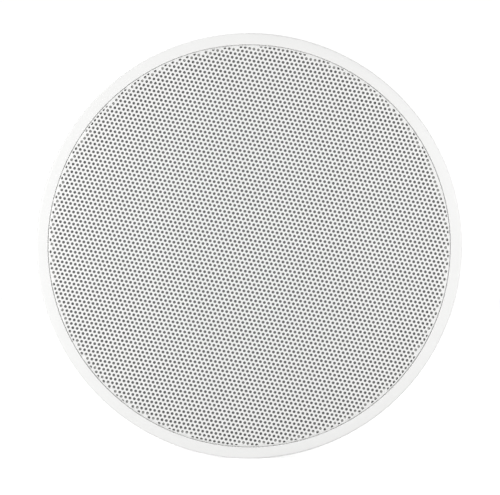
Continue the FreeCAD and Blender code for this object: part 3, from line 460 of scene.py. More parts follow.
def woven_cloth(name, colour, painted_gap_shade, thread_mm, sheen_weight):
    """Plain weave of round threads, over and under in turn, with painted shade between them. Finer than the
    render shows, so the threads are drawn coarser than the real 0.3 mm."""
    material, tree, shader, place = new_finish(
        name, colour, roughness=0.9, **{"Sheen Weight": sheen_weight, "Sheen Roughness": 0.5})
    axes = add_node(tree, "ShaderNodeSeparateXYZ", {0: place})
    ridges = []
    for axis in ("X", "Z"):
        turn = add_node(tree, "ShaderNodeMath",
                        {0: axes.outputs[axis], 1: math.pi * per_mm(thread_mm)}, operation="MULTIPLY")
        ridges.append(add_node(tree, "ShaderNodeMath", {0: turn}, operation="SINE"))
    cross = add_node(tree, "ShaderNodeMath", {0: ridges[0], 1: ridges[1]}, operation="MULTIPLY")
    lift = add_node(tree, "ShaderNodeMapRange", {"Value": cross, "From Min": -1.0})
    slub = add_node(tree, "ShaderNodeTexNoise", {"Vector": place, "Scale": per_mm(3), "Detail": 3.0})
    height = add_node(tree, "ShaderNodeMath", {0: lift, 1: slub}, operation="MULTIPLY")
    # The tone is painted shade: darker where the threads dip under each other, and varied at random by the
    # slub
    vary(tree, shader, tone=(height, painted_gap_shade, colour), relief=(height, 0.12, 0.8))
    return material


def pressed_fibre(name, colour, dark, roughness, fibre_mm, depth_mm):
    """Paper, felt or hard paper: short tangled fibres, lighter and darker, with a matt nap."""
    material, tree, shader, place = new_finish(
        name, colour, roughness, **{"Sheen Weight": 0.2, "Sheen Roughness": 0.6})
    tangle = add_node(tree, "ShaderNodeTexNoise",
                      {"Vector": place, "Scale": per_mm(fibre_mm), "Detail": 6.0, "Distortion": 2.5})
    cloud = add_node(tree, "ShaderNodeTexNoise", {"Vector": place, "Scale": per_mm(8), "Detail": 3.0})
    mixed = add_node(tree, "ShaderNodeMath", {0: tangle, 1: cloud}, operation="ADD")
    share = add_node(tree, "ShaderNodeMapRange", {"Value": mixed, "From Min": 0.6, "From Max": 1.4})
    vary(tree, shader, tone=(share, dark, colour), relief=(tangle, depth_mm, 0.7))
    return material


def soft_polymer(name, colour, roughness, pore_mm, depth_mm):
    """Rubber, foam or glue: matt, with a skin of fine pores and a faint bloom."""
    material, tree, shader, place = new_finish(name, colour, roughness, IOR=1.52)
    pores = add_node(tree, "ShaderNodeTexVoronoi", {"Vector": place, "Scale": per_mm(pore_mm)})
    bloom = add_node(tree, "ShaderNodeTexNoise", {"Vector": place, "Scale": per_mm(12), "Detail": 3.0})
    vary(tree, shader, tone=(bloom, shade(colour, 0.7), shade(colour, 1.25)),
         relief=(pores.outputs["Distance"], depth_mm, 0.5))
    return material


def wound_copper(name, colour, dark, roughness, wire_mm):
    """Enamelled copper wire in close turns, with painted shade between the turns. The turns, really 0.3 mm
    apart, are drawn coarser.
    """
    material, tree, shader, place = new_finish(name, colour, roughness, metallic=1.0)
    along = add_node(tree, "ShaderNodeSeparateXYZ", {0: place}).outputs["Y"]
    turn = add_node(tree, "ShaderNodeMath", {0: along, 1: 2 * math.pi * per_mm(wire_mm)},
                    operation="MULTIPLY")
    wave = add_node(tree, "ShaderNodeMath", {0: turn}, operation="SINE")
    lift = add_node(tree, "ShaderNodeMapRange", {"Value": wave, "From Min": -1.0})
    # The dark colour is painted shade in the grooves between the turns
    vary(tree, shader, tone=(lift, dark, colour), relief=(lift, 0.15, 0.9))
    return material


def ground_ferrite(name, colour, roughness, pits_mm):
    """Sintered ferrite: dark grey, dull and stony, with ground faces and tiny pits."""
    material, tree, shader, place = new_finish(name, colour, roughness, IOR=1.8)
    pits = add_node(tree, "ShaderNodeTexNoise", {"Vector": place, "Scale": per_mm(pits_mm), "Detail": 5.0})
    cloud = add_node(tree, "ShaderNodeTexNoise", {"Vector": place, "Scale": per_mm(14), "Detail": 3.0})
    vary(tree, shader, tone=(cloud, shade(colour, 0.65), shade(colour, 1.4)), relief=(pits, 0.06, 0.6))
    return material


# Node trees

def perforated_sheet_tree(material):
    """Half of a round sheet with staggered holes and a bent edge, facing the listener.

    The rows lie along the cut, so that no hole is cut. The half is chosen by Side, 1 or -1."""
    tree, size, output = new_tree(
        "perforated_sheet",
        Float=("Pitch", "Row Spacing", "Hole Radius", "Row Angle", "Row Shift", "Flat Radius",
               "Sheet Radius", "Bend", "Sheet", "Margin", "Side", "Face"),
        Int=("Hole Sides", "Rows", "Columns", "Edge Points"))
    here = add_node(tree, "GeometryNodeInputPosition")
    axes = add_node(tree, "ShaderNodeSeparateXYZ", {0: here}).outputs

    # Points of the staggered rows on one side of the cut
    width = add_node(tree, "ShaderNodeMath", {0: size["Columns"], 1: size["Pitch"]}, operation="MULTIPLY")
    depth = add_node(tree, "ShaderNodeMath", {0: size["Rows"], 1: size["Row Spacing"]}, operation="MULTIPLY")
    columns = add_node(tree, "ShaderNodeMath", {0: size["Columns"], 1: 1.0}, operation="ADD")
    rows = add_node(tree, "ShaderNodeMath", {0: size["Rows"], 1: 1.0}, operation="ADD")
    points = add_node(tree, "GeometryNodeMeshGrid",
                      {"Size X": width, "Size Y": depth, "Vertices X": columns, "Vertices Y": rows})
    first = add_node(tree, "ShaderNodeMath", {0: depth, 1: 0.5}, operation="MULTIPLY")
    low = add_node(tree, "ShaderNodeMath", {0: axes["Y"], 1: first}, operation="ADD")
    half_row = add_node(tree, "ShaderNodeMath", {0: size["Row Spacing"], 1: 0.5}, operation="MULTIPLY")
    up = add_node(tree, "ShaderNodeMath", {0: low, 1: half_row}, operation="ADD")
    row_y = add_node(tree, "ShaderNodeMath", {0: up, 1: size["Side"]}, operation="MULTIPLY")
    row_count = add_node(tree, "ShaderNodeMath", {0: row_y, 1: size["Row Spacing"]}, operation="DIVIDE")
    row_number = add_node(tree, "ShaderNodeMath", {0: row_count}, operation="FLOOR")
    next_row = add_node(tree, "ShaderNodeMath", {0: row_number, 1: 1.0}, operation="ADD")
    odd = add_node(tree, "ShaderNodeMath", {0: next_row, 1: 2.0}, operation="FLOORED_MODULO")
    half_pitch = add_node(tree, "ShaderNodeMath", {0: size["Pitch"], 1: 0.5}, operation="MULTIPLY")
    stagger = add_node(tree, "ShaderNodeMath", {0: odd, 1: half_pitch}, operation="MULTIPLY")
    row_x = add_node(tree, "ShaderNodeMath", {0: axes["X"], 1: stagger}, operation="ADD")
    shifted = add_node(tree, "ShaderNodeMath", {0: row_x, 1: size["Row Shift"]}, operation="ADD")
    spot = add_node(tree, "ShaderNodeCombineXYZ", {0: shifted, 1: row_y})
    lattice = add_node(tree, "GeometryNodeSetPosition", {"Geometry": points, "Position": spot})
    reach = add_node(tree, "ShaderNodeVectorMath", {0: here}, operation="LENGTH")
    edge = add_node(tree, "ShaderNodeMath", {0: size["Sheet Radius"], 1: size["Hole Radius"]},
                    operation="SUBTRACT")
    limit = add_node(tree, "ShaderNodeMath", {0: edge, 1: size["Margin"]}, operation="SUBTRACT")
    beyond = add_node(tree, "ShaderNodeMath", {0: reach.outputs["Value"], 1: limit},
                      operation="GREATER_THAN")
    kept = add_node(tree, "GeometryNodeDeleteGeometry",
                    {"Geometry": lattice, "Selection": beyond}, domain="POINT")

    # The holes and the edges of one strip for each row, filled between; a strip at a time is quick
    hole = add_node(tree, "GeometryNodeCurvePrimitiveCircle",
                    {"Resolution": size["Hole Sides"], "Radius": size["Hole Radius"]}, mode="RADIUS")
    holes = add_node(tree, "GeometryNodeInstanceOnPoints", {"Points": kept, "Instance": hole})
    round_edge = add_node(tree, "GeometryNodeCurvePrimitiveCircle",
                          {"Resolution": size["Edge Points"], "Radius": size["Sheet Radius"]}, mode="RADIUS")
    strips = add_node(tree, "GeometryNodeDuplicateElements",
                      {"Geometry": round_edge, "Amount": size["Rows"]}, domain="SPLINE")
    strip_low = add_node(tree, "ShaderNodeMath",
                         {0: strips.outputs["Duplicate Index"], 1: size["Row Spacing"]}, operation="MULTIPLY")
    strip_high = add_node(tree, "ShaderNodeMath", {0: strip_low, 1: size["Row Spacing"]}, operation="ADD")
    sided = add_node(tree, "ShaderNodeMath", {0: axes["Y"], 1: size["Side"]}, operation="MULTIPLY")
    above = add_node(tree, "ShaderNodeMath", {0: sided, 1: strip_low}, operation="MAXIMUM")
    within = add_node(tree, "ShaderNodeMath", {0: above, 1: strip_high}, operation="MINIMUM")
    cut_y = add_node(tree, "ShaderNodeMath", {0: within, 1: size["Side"]}, operation="MULTIPLY")
    sheet_square = add_node(tree, "ShaderNodeMath", {0: size["Sheet Radius"], 1: 2.0}, operation="POWER")
    height_square = add_node(tree, "ShaderNodeMath", {0: within, 1: 2.0}, operation="POWER")
    room = add_node(tree, "ShaderNodeMath", {0: sheet_square, 1: height_square}, operation="SUBTRACT")
    positive = add_node(tree, "ShaderNodeMath", {0: room, 1: 0.0}, operation="MAXIMUM")
    half_width = add_node(tree, "ShaderNodeMath", {0: positive}, operation="SQRT")
    left = add_node(tree, "ShaderNodeMath", {0: half_width, 1: -1.0}, operation="MULTIPLY")
    right_of = add_node(tree, "ShaderNodeMath", {0: axes["X"], 1: left}, operation="MAXIMUM")
    cut_x = add_node(tree, "ShaderNodeMath", {0: right_of, 1: half_width}, operation="MINIMUM")
    cut_spot = add_node(tree, "ShaderNodeCombineXYZ", {0: cut_x, 1: cut_y})
    strip_edges = add_node(tree, "GeometryNodeSetPosition", {"Geometry": strips, "Position": cut_spot})
    real_holes = add_node(tree, "GeometryNodeRealizeInstances", {"Geometry": holes})
    outlines = add_node(tree, "GeometryNodeJoinGeometry", {0: [strip_edges, real_holes]})
    strip_share = add_node(tree, "ShaderNodeMath", {0: sided, 1: size["Row Spacing"]}, operation="DIVIDE")
    strip_number = add_node(tree, "ShaderNodeMath", {0: strip_share}, operation="FLOOR")
    filled = add_node(tree, "GeometryNodeFillCurve", {"Curve": outlines, "Group ID": strip_number})
    front = add_node(tree, "GeometryNodeMergeByDistance", {"Geometry": filled, "Distance": MERGE_GAP})

    # The sheet's thickness, then its bent edge
    inward = add_node(tree, "ShaderNodeCombineXYZ", {2: size["Sheet"]})
    back_offset = add_node(tree, "ShaderNodeVectorMath", {0: inward, 1: (-1.0, -1.0, -1.0)},
                           operation="MULTIPLY")
    wall = add_node(tree, "GeometryNodeExtrudeMesh",
                    {"Mesh": front, "Offset": back_offset, "Offset Scale": 1.0,
                     "Individual": False}, mode="FACES")
    turned_front = add_node(tree, "GeometryNodeFlipFaces", {"Mesh": front})
    solid = add_node(tree, "GeometryNodeJoinGeometry", {0: [turned_front, wall]})
    closed = add_node(tree, "GeometryNodeMergeByDistance", {"Geometry": solid, "Distance": MERGE_GAP})
    plan = add_node(tree, "ShaderNodeVectorMath", {0: here, 1: (1.0, 1.0, 0.0)}, operation="MULTIPLY")
    plan_r = add_node(tree, "ShaderNodeVectorMath", {0: plan}, operation="LENGTH").outputs["Value"]
    way = add_node(tree, "ShaderNodeVectorMath", {0: plan}, operation="NORMALIZE")
    past = add_node(tree, "ShaderNodeMath", {0: plan_r, 1: size["Flat Radius"]}, operation="SUBTRACT")
    over = add_node(tree, "ShaderNodeMath", {0: past, 1: 0.0}, operation="MAXIMUM")
    angle = add_node(tree, "ShaderNodeMath", {0: over, 1: size["Bend"]}, operation="DIVIDE")
    inner_r = add_node(tree, "ShaderNodeMath", {0: size["Bend"], 1: axes["Z"]}, operation="ADD")
    sine = add_node(tree, "ShaderNodeMath", {0: angle}, operation="SINE")
    cosine = add_node(tree, "ShaderNodeMath", {0: angle}, operation="COSINE")
    run = add_node(tree, "ShaderNodeMath", {0: inner_r, 1: sine}, operation="MULTIPLY")
    flat_r = add_node(tree, "ShaderNodeMath", {0: plan_r, 1: over}, operation="SUBTRACT")
    bent_r = add_node(tree, "ShaderNodeMath", {0: flat_r, 1: run}, operation="ADD")
    lift = add_node(tree, "ShaderNodeMath", {0: inner_r, 1: cosine}, operation="MULTIPLY")
    bent_z = add_node(tree, "ShaderNodeMath", {0: lift, 1: size["Bend"]}, operation="SUBTRACT")
    bent_plan = add_node(tree, "ShaderNodeVectorMath", {0: way, "Scale": bent_r}, operation="SCALE")
    bent_up = add_node(tree, "ShaderNodeCombineXYZ", {2: bent_z})
    bent = add_node(tree, "ShaderNodeVectorMath", {0: bent_plan, 1: bent_up}, operation="ADD")
    rolled = add_node(tree, "GeometryNodeSetPosition", {"Geometry": closed, "Position": bent})

    # Turned to its row angle, then stood up to face the listener
    tilt = add_node(tree, "ShaderNodeCombineXYZ", {2: size["Row Angle"]})
    tilted = add_node(tree, "GeometryNodeTransform", {"Geometry": rolled, "Rotation": tilt})
    face = add_node(tree, "ShaderNodeCombineXYZ", {1: size["Face"]})
    stood = add_node(tree, "GeometryNodeTransform",
                     {"Geometry": tilted, "Rotation": (math.pi / 2, 0.0, 0.0), "Translation": face})
    close_tree(tree, stood, material, output)
    return tree


def screw_thread_tree(material):
    """A threaded shank: a core with a ridge that winds along it, from Start back along the axis."""
    tree, size, output = new_tree(
        "screw_thread", Float=("Core Radius", "Ridge Radius", "Lead", "Length"), Int=("Turn Points",),
        Vector=("Start",))
    turns = add_node(tree, "ShaderNodeMath", {0: size["Length"], 1: size["Lead"]}, operation="DIVIDE")
    winding = add_node(tree, "GeometryNodeCurveSpiral",
                       {"Resolution": size["Turn Points"], "Rotations": turns,
                        "Start Radius": size["Core Radius"], "End Radius": size["Core Radius"],
                        "Height": size["Length"]})
    upright = add_node(tree, "GeometryNodeSetCurveNormal", {"Curve": winding}, mode="Z_UP")
    ridge_height = add_node(tree, "ShaderNodeMath", {0: size["Ridge Radius"], 1: size["Core Radius"]},
                            operation="SUBTRACT")
    ridge = add_node(tree, "GeometryNodeCurvePrimitiveCircle",
                     {"Resolution": 4, "Radius": ridge_height}, mode="RADIUS")
    thread = add_node(tree, "GeometryNodeCurveToMesh",
                      {"Curve": upright, "Profile Curve": ridge, "Fill Caps": True})
    axis_end = add_node(tree, "ShaderNodeCombineXYZ", {2: size["Length"]})
    axis = add_node(tree, "GeometryNodeCurvePrimitiveLine", {"End": axis_end})
    core = add_node(tree, "GeometryNodeCurvePrimitiveCircle",
                    {"Resolution": size["Turn Points"], "Radius": size["Core Radius"]}, mode="RADIUS")
    shank = add_node(tree, "GeometryNodeCurveToMesh",
                     {"Curve": axis, "Profile Curve": core, "Fill Caps": True})
    both = add_node(tree, "GeometryNodeJoinGeometry", {0: [thread, shank]})
    placed = add_node(tree, "GeometryNodeTransform",
                      {"Geometry": both, "Rotation": (-math.pi / 2, 0.0, 0.0),
                       "Translation": size["Start"]})
    close_tree(tree, placed, material, output)
    return tree


def twisted_lead_tree(material):
    """Strands that wind round the curve they are given, as in a tinsel lead."""
    tree, size, output = new_tree(
        "twisted_lead", Float=("Lead Radius", "Strand Radius", "Lay"), Int=("Strands", "Points"))
    fine = add_node(tree, "GeometryNodeResampleCurve", {"Curve": size["Geometry"], "Count": size["Points"]})
    copies = add_node(tree, "GeometryNodeDuplicateElements",
                      {"Geometry": fine, "Amount": size["Strands"]}, domain="SPLINE")
    along = add_node(tree, "GeometryNodeSplineParameter").outputs["Length"]
    turn = add_node(tree, "ShaderNodeMath", {0: along, 1: size["Lay"]}, operation="DIVIDE")
    share = add_node(tree, "ShaderNodeMath", {0: copies.outputs["Duplicate Index"], 1: size["Strands"]},
                     operation="DIVIDE")
    phase = add_node(tree, "ShaderNodeMath", {0: turn, 1: share}, operation="ADD")
    angle = add_node(tree, "ShaderNodeMath", {0: phase, 1: 2 * math.pi}, operation="MULTIPLY")
    normal = add_node(tree, "GeometryNodeInputNormal")
    tangent = add_node(tree, "GeometryNodeInputTangent")
    swung = add_node(tree, "ShaderNodeVectorRotate",
                     {"Vector": normal, "Axis": tangent, "Angle": angle}, rotation_type="AXIS_ANGLE")
    out = add_node(tree, "ShaderNodeVectorMath", {0: swung, "Scale": size["Lead Radius"]},
                   operation="SCALE")
    strands = add_node(tree, "GeometryNodeSetPosition", {"Geometry": copies, "Offset": out})
    section = add_node(tree, "GeometryNodeCurvePrimitiveCircle",
                       {"Resolution": 6, "Radius": size["Strand Radius"]}, mode="RADIUS")
    wires = add_node(tree, "GeometryNodeCurveToMesh",
                     {"Curve": strands, "Profile Curve": section, "Fill Caps": True})
    close_tree(tree, wires, material, output)
    return tree


# Operators, one for each piece or group of like pieces

class SUBWOOFER_OT_frame(bpy.types.Operator):
    """Finish the moulded mounting frame"""

    bl_idname = "subwoofer.frame"
    bl_label = "Mounting frame"

    def execute(self, context):
        colour = tuple(context.scene.subwoofer_finish.frame_colour) + (1.0,)
        # White ABS, moulded in a spark-eroded tool: satin, its grain of about 0.2 mm drawn coarser to show
        abs_white = moulded_plastic("moulded_abs_white", colour, roughness=0.42, grain_mm=0.5, depth_mm=0.02,
                                    specks=0.01)
        shell = merged_copy("mounting_frame_moulded", "mounting_frame")
        self.round_opening(shell.data)
        settle(shell, shell.modifiers.new("even_faces", "WEIGHTED_NORMAL"))
        set_finish(shell, abs_white)
        stand_in(shell, "housing", "mounting_frame")
        return {"FINISHED"}

    def round_opening(self, mesh):
        """Rounds the front edge of the opening round the grille, as no moulded edge is sharp."""
        near = 0.02 * MM
        front = min(v.co.y for v in mesh.vertices)
        shape = bmesh.new()
        shape.from_mesh(mesh)
        rim = {v for v in shape.verts
               if v.co.y - front < near and abs(math.hypot(v.co.x, v.co.z) - OPENING_R) < near}
        edges = [e for e in shape.edges if rim.issuperset(e.verts)]
        bmesh.ops.bevel(shape, geom=edges, offset=OPENING_EDGE_R, offset_type="OFFSET", segments=4,
                        profile=0.5, affect="EDGES", clamp_overlap=False)
        shape.to_mesh(mesh)
        shape.free()
        smooth(mesh, CREASE_DEGREES)


class SUBWOOFER_OT_grille(bpy.types.Operator):
    """Build the perforated grille, in two halves and a rim"""

    bl_idname = "subwoofer.grille"
    bl_label = "Grille"

    def execute(self, context):
        settings = context.scene.subwoofer_grille
        colour = tuple(context.scene.subwoofer_finish.grille_colour) + (1.0,)
        # Perforated sheet steel with a white powder coat: even and satin, with a faint orange peel
        coat = coated_steel("powder_coated_steel_white", colour, roughness=0.45, peel_mm=0.6, depth_mm=0.02)
        face = GRILLE_LOW.y
        flat_r = GRILLE_HIGH.x - settings.bend
        sheet_r = flat_r + settings.bend * math.radians(SHEET_BEND_DEGREES)
        tree = perforated_sheet_tree(coat)
        sizes = {
            "Pitch": settings.pitch, "Row Spacing": settings.row_spacing,
            "Hole Radius": settings.hole_diameter / 2, "Hole Sides": settings.hole_sides,
            "Row Angle": settings.row_angle, "Row Shift": settings.row_shift,
            "Rows": math.ceil(sheet_r / settings.row_spacing),
            "Columns": 2 * math.ceil(sheet_r / settings.pitch) + 2,
            "Flat Radius": flat_r, "Sheet Radius": sheet_r, "Bend": settings.bend,
            "Sheet": settings.sheet, "Margin": HOLE_MARGIN, "Face": face, "Edge Points": GRILLE_SEGMENTS}
        # One sheet, kept in two pieces along a row so that each stays light enough
        halves = [grow(name, tree, {**sizes, "Side": side})
                  for name, side in (("grille_sheet_upper", 1.0), ("grille_sheet_lower", -1.0))]
        rim = self.rim(settings, flat_r, face)
        set_finish(rim, coat)
        for piece in (*halves, rim):
            stand_in(piece, "housing", "grille")
        return {"FINISHED"}

    def rim(self, settings, flat_r, face):
        """The rest of the bend, and the skirt that goes down into the rebate."""
        centre = (flat_r, face + settings.bend)
        skirt_end = GRILLE_HIGH.y
        inner = settings.bend - settings.sheet
        start = 90 - SHEET_BEND_DEGREES
        outline = arc_points(centre, settings.bend, start, 0, steps=6)
        outline += [(flat_r + settings.bend, skirt_end), (flat_r + inner, skirt_end)]
        outline += arc_points(centre, inner, 0, start, steps=6)
        return turned_ring("grille_rim", outline, GRILLE_SEGMENTS)


class SUBWOOFER_OT_scrim(bpy.types.Operator):
    """Stretch the cloth behind the grille"""

    bl_idname = "subwoofer.scrim"
    bl_label = "Scrim cloth"

    def execute(self, context):
        colour = tuple(context.scene.subwoofer_finish.scrim_colour) + (1.0,)
        # Grey polyester acoustic cloth: open plain weave, matt, with painted shade between the threads
        cloth = woven_cloth("woven_polyester_grey", colour, painted_gap_shade=shade(colour, 0.45),
                            thread_mm=0.6, sheen_weight=0.1)
        radius = SCRIM_HIGH.x
        sheet = link_piece("scrim_cloth", self.cloth_mesh(radius))
        set_finish(sheet, cloth)
        stand_in(sheet, "housing", "scrim")
        self.glue(radius)
        return {"FINISHED"}

    def cloth_mesh(self, radius):
        """A flat round of cloth, with both its faces in rings and an edge between them."""
        turns = [2 * math.pi * i / CLOTH_SEGMENTS for i in range(CLOTH_SEGMENTS)]
        sides = [(i, (i + 1) % CLOTH_SEGMENTS) for i in range(CLOTH_SEGMENTS)]
        shape = bmesh.new()
        edges = []
        for depth in (SCRIM_LOW.y, SCRIM_HIGH.y):
            middle = shape.verts.new((0, depth, 0))
            inner = None
            for k in range(1, CLOTH_RINGS + 1):
                r = radius * k / CLOTH_RINGS
                ring = [shape.verts.new((r * math.cos(a), depth, r * math.sin(a))) for a in turns]
                for i, j in sides:
                    if inner is None:
                        shape.faces.new((middle, ring[i], ring[j]))
                    else:
                        shape.faces.new((inner[i], ring[i], ring[j], inner[j]))
                inner = ring
            edges.append(inner)
        front, back = edges
        for i, j in sides:
            shape.faces.new((front[i], front[j], back[j], back[i]))
        bmesh.ops.recalc_face_normals(shape, faces=shape.faces)
        mesh = bpy.data.meshes.new("scrim_cloth")
        shape.to_mesh(mesh)
        shape.free()
        return mesh

    def glue(self, inner):
        """The bead that holds the cloth's edge, which shows pale through the outermost holes."""
        outer = inner + GLUE_WIDTH
        front = SCRIM_LOW.y
        back = SCRIM_HIGH.y
        outline = [(inner, front), (outer, front), (outer, back), (inner, back)]
        bead = turned_ring("scrim_glue", outline, CLOTH_SEGMENTS)
        # Hot-melt glue: milky and waxy
        set_finish(bead, soft_polymer("hot_melt_glue", linear("#a4a4a2"), roughness=0.5, pore_mm=1.5,
                                      depth_mm=0.05))
        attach(bead, "housing")


def bend_between(piece, fixed_r, moving_r):
    """Makes a ring bend from the housing, at one radius, to the cone, at the other."""
    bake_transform(piece, "housing", "cone_assembly", start=(fixed_r, 0, 0), end=(moving_r, 0, 0))
    mesh = piece.data
    places = np.zeros(3 * len(mesh.vertices))
    mesh.vertices.foreach_get("co", places)
    radii = np.hypot(places[0::3], places[2::3])
    share = np.clip((fixed_r - radii) / (fixed_r - moving_r), 0, 1)
    weights = share * share * (3 - 2 * share)
    mesh.attributes["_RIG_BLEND"].data.foreach_set("value", weights.astype(np.float32))


class SUBWOOFER_OT_surround(bpy.types.Operator):
    """Build the rubber half-roll between the basket and the cone"""

    bl_idname = "subwoofer.surround"
    bl_label = "Surround"

    def execute(self, context):
        # Butyl rubber, moulded: black, matt and slightly bloomed
        rubber = soft_polymer("moulded_butyl_rubber", linear("#1d1d1e"), roughness=0.62, pore_mm=0.5,
                              depth_mm=0.03)
        back = SURROUND_HIGH.y
        front = back - SURROUND_THICKNESS
        over = ROLL_R + SURROUND_THICKNESS / 2
        under = ROLL_R - SURROUND_THICKNESS / 2
        middle = (ROLL_CENTRE_R, front)
        outline = [(SURROUND_HIGH.x, back), (SURROUND_HIGH.x, front)]
        outline += arc_points(middle, over, 0, 180, steps=28)
        outline += [(CONE_FACE_R, front), (CONE_FACE_R, back), (ROLL_CENTRE_R - under, back)]
        outline += arc_points(middle, under, 180, 0, steps=28)
        outline += [(ROLL_CENTRE_R + under, back)]
        roll = turned_ring("surround_roll", outline, SURROUND_SEGMENTS)
        set_finish(roll, rubber)
        bend_between(roll, ROLL_CENTRE_R + under, ROLL_CENTRE_R - under)
        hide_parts("surround")
        return {"FINISHED"}


class SUBWOOFER_OT_spider(bpy.types.Operator):
    """Build the corrugated cloth that centres the coil"""

    bl_idname = "subwoofer.spider"
    bl_label = "Spider"

    def execute(self, context):
        # Cotton cloth dipped in resin and pressed: tan, stiff, with the weave showing and painted shade
        # between the threads
        cloth = woven_cloth("resin_dipped_cotton", linear("#b08a4e"), painted_gap_shade=linear("#6e4f25"),
                            thread_mm=0.7, sheen_weight=0.15)
        back = (SPIDER_LOW.y + SPIDER_HIGH.y + SPIDER_THICKNESS) / 2
        steps = POINTS_PER_WAVE * SPIDER_WAVES
        line = [(COIL_R, 0.0)]
        for k in range(steps + 1):
            share = k / steps
            r = SPIDER_COLLAR_R + (SPIDER_OUTER_R - SPIDER_COLLAR_R) * share
            line.append((r, SPIDER_WAVE_HEIGHT * math.sin(2 * math.pi * SPIDER_WAVES * share)))
        line.append((SPIDER_HIGH.x, 0.0))
        outline = [(r, back + y) for r, y in line]
        outline += [(r, back - SPIDER_THICKNESS + y) for r, y in reversed(line)]
        disc = turned_ring("spider_cloth", outline, SPIDER_SEGMENTS)
        set_finish(disc, cloth)
        bend_between(disc, SPIDER_OUTER_R, SPIDER_COLLAR_R)
        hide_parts("spider")
        return {"FINISHED"}


class SUBWOOFER_OT_leads(bpy.types.Operator):
    """Twist the tinsel leads between the tags and the cone"""

    bl_idname = "subwoofer.leads"
    bl_label = "Tinsel leads"

    def execute(self, context):
        # Copper tinsel, twisted: dull pink brown, brighter on the crowns of the strands
        copper = plated_metal("twisted_copper_tinsel", linear("#b9764f"), roughness=0.38, marks_mm=0.8)
        curve = bpy.data.curves.new("tinsel_route", "CURVE")
        curve.dimensions = "3D"
        for x in TINSEL_SIDES_MM:
            spline = curve.splines.new("NURBS")
            spline.points.add(len(TINSEL_ROUTE_MM) - 1)
            for point, (y, z) in zip(spline.points, TINSEL_ROUTE_MM):
                point.co = (x * MM, y * MM, z * MM, 1.0)
            spline.order_u = 3
            spline.use_endpoint_u = True
            spline.resolution_u = 16
        strand_r = TINSEL_DIAMETER * STRAND_SHARE
        leads = grow("tinsel_strands", twisted_lead_tree(copper), {
            "Strands": STRANDS, "Lead Radius": TINSEL_DIAMETER / 2 - strand_r, "Strand Radius": strand_r,
            "Lay": STRAND_LAY, "Points": 72}, curve)
        leads.data.shade_smooth()
        (start_y, start_z), (end_y, end_z) = TINSEL_ROUTE_MM[0], TINSEL_ROUTE_MM[-1]
        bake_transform(leads, "housing", "cone_assembly", start=(0, start_y * MM, start_z * MM),
                 end=(0, end_y * MM, end_z * MM))
        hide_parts("tinsel_leads")
        return {"FINISHED"}


class SUBWOOFER_OT_clamps(bpy.types.Operator):
    """Thread the clamp screws and finish the clamps"""

    bl_idname = "subwoofer.clamps"
    bl_label = "Clamps"

    def execute(self, context):
        # Zinc-plated steel: pale bluish grey, bright
        zinc = plated_metal("zinc_plated_steel", linear("#b9bec4"), roughness=0.32, marks_mm=1.2)
        # Brass, turned: warm yellow, bright
        brass = plated_metal("turned_brass", linear("#c9a24f"), roughness=0.3, marks_mm=0.9)
        # Glass-filled nylon: dark grey, dull, mottled by its fibres
        nylon = moulded_plastic("glass_filled_nylon_grey", linear("#3a3b3d"), roughness=0.55, grain_mm=0.4,
                                depth_mm=0.05, specks=0.25)
        tree = screw_thread_tree(zinc)
        for k in range(1, CLAMPS + 1):
            node = f"clamp_screw_{k}"
            axis = next(j for j in frame["joints"] if j["name"] == f"clamp_{k}_turn")["pos_m"]
            screw = self.threaded_screw(k, node, tree, axis)
            set_finish(screw, zinc)
            stand_in(screw, node, node)
            finish_nodes(brass, f"clamp_insert_{k}")
            finish_nodes(nylon, f"clamp_dog_{k}")
        return {"FINISHED"}

    def threaded_screw(self, k, node, tree, axis):
        """The head from the CAD screw, with a threaded shank in place of its plain one."""
        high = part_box(node)[1]
        seat = max(v.co.y for v in frame["nodes"][node].data.vertices if v.co.y < high.y - MM)
        piece = merged_copy(f"clamp_screw_threaded_{k}", node)
        shank = grow(f"clamp_shank_{k}", tree, {
            "Core Radius": CLAMP_SCREW_R - THREAD_DEPTH_SHARE * CLAMP_LEAD, "Ridge Radius": CLAMP_SCREW_R,
            "Lead": CLAMP_LEAD, "Length": high.y - seat, "Start": (axis[0], seat, axis[2]),
            "Turn Points": 20})
        shape = bmesh.new()
        shape.from_mesh(piece.data)
        tail = [v for v in shape.verts if v.co.y > seat + MERGE_GAP]
        bmesh.ops.delete(shape, geom=tail, context="VERTS")
        bmesh.ops.holes_fill(shape, edges=[e for e in shape.edges if e.is_boundary])
        shape.from_mesh(shank.data)
        shape.to_mesh(piece.data)
        shape.free()
        bpy.data.objects.remove(shank)
        smooth(piece.data, METAL_CREASE_DEGREES)
        return piece


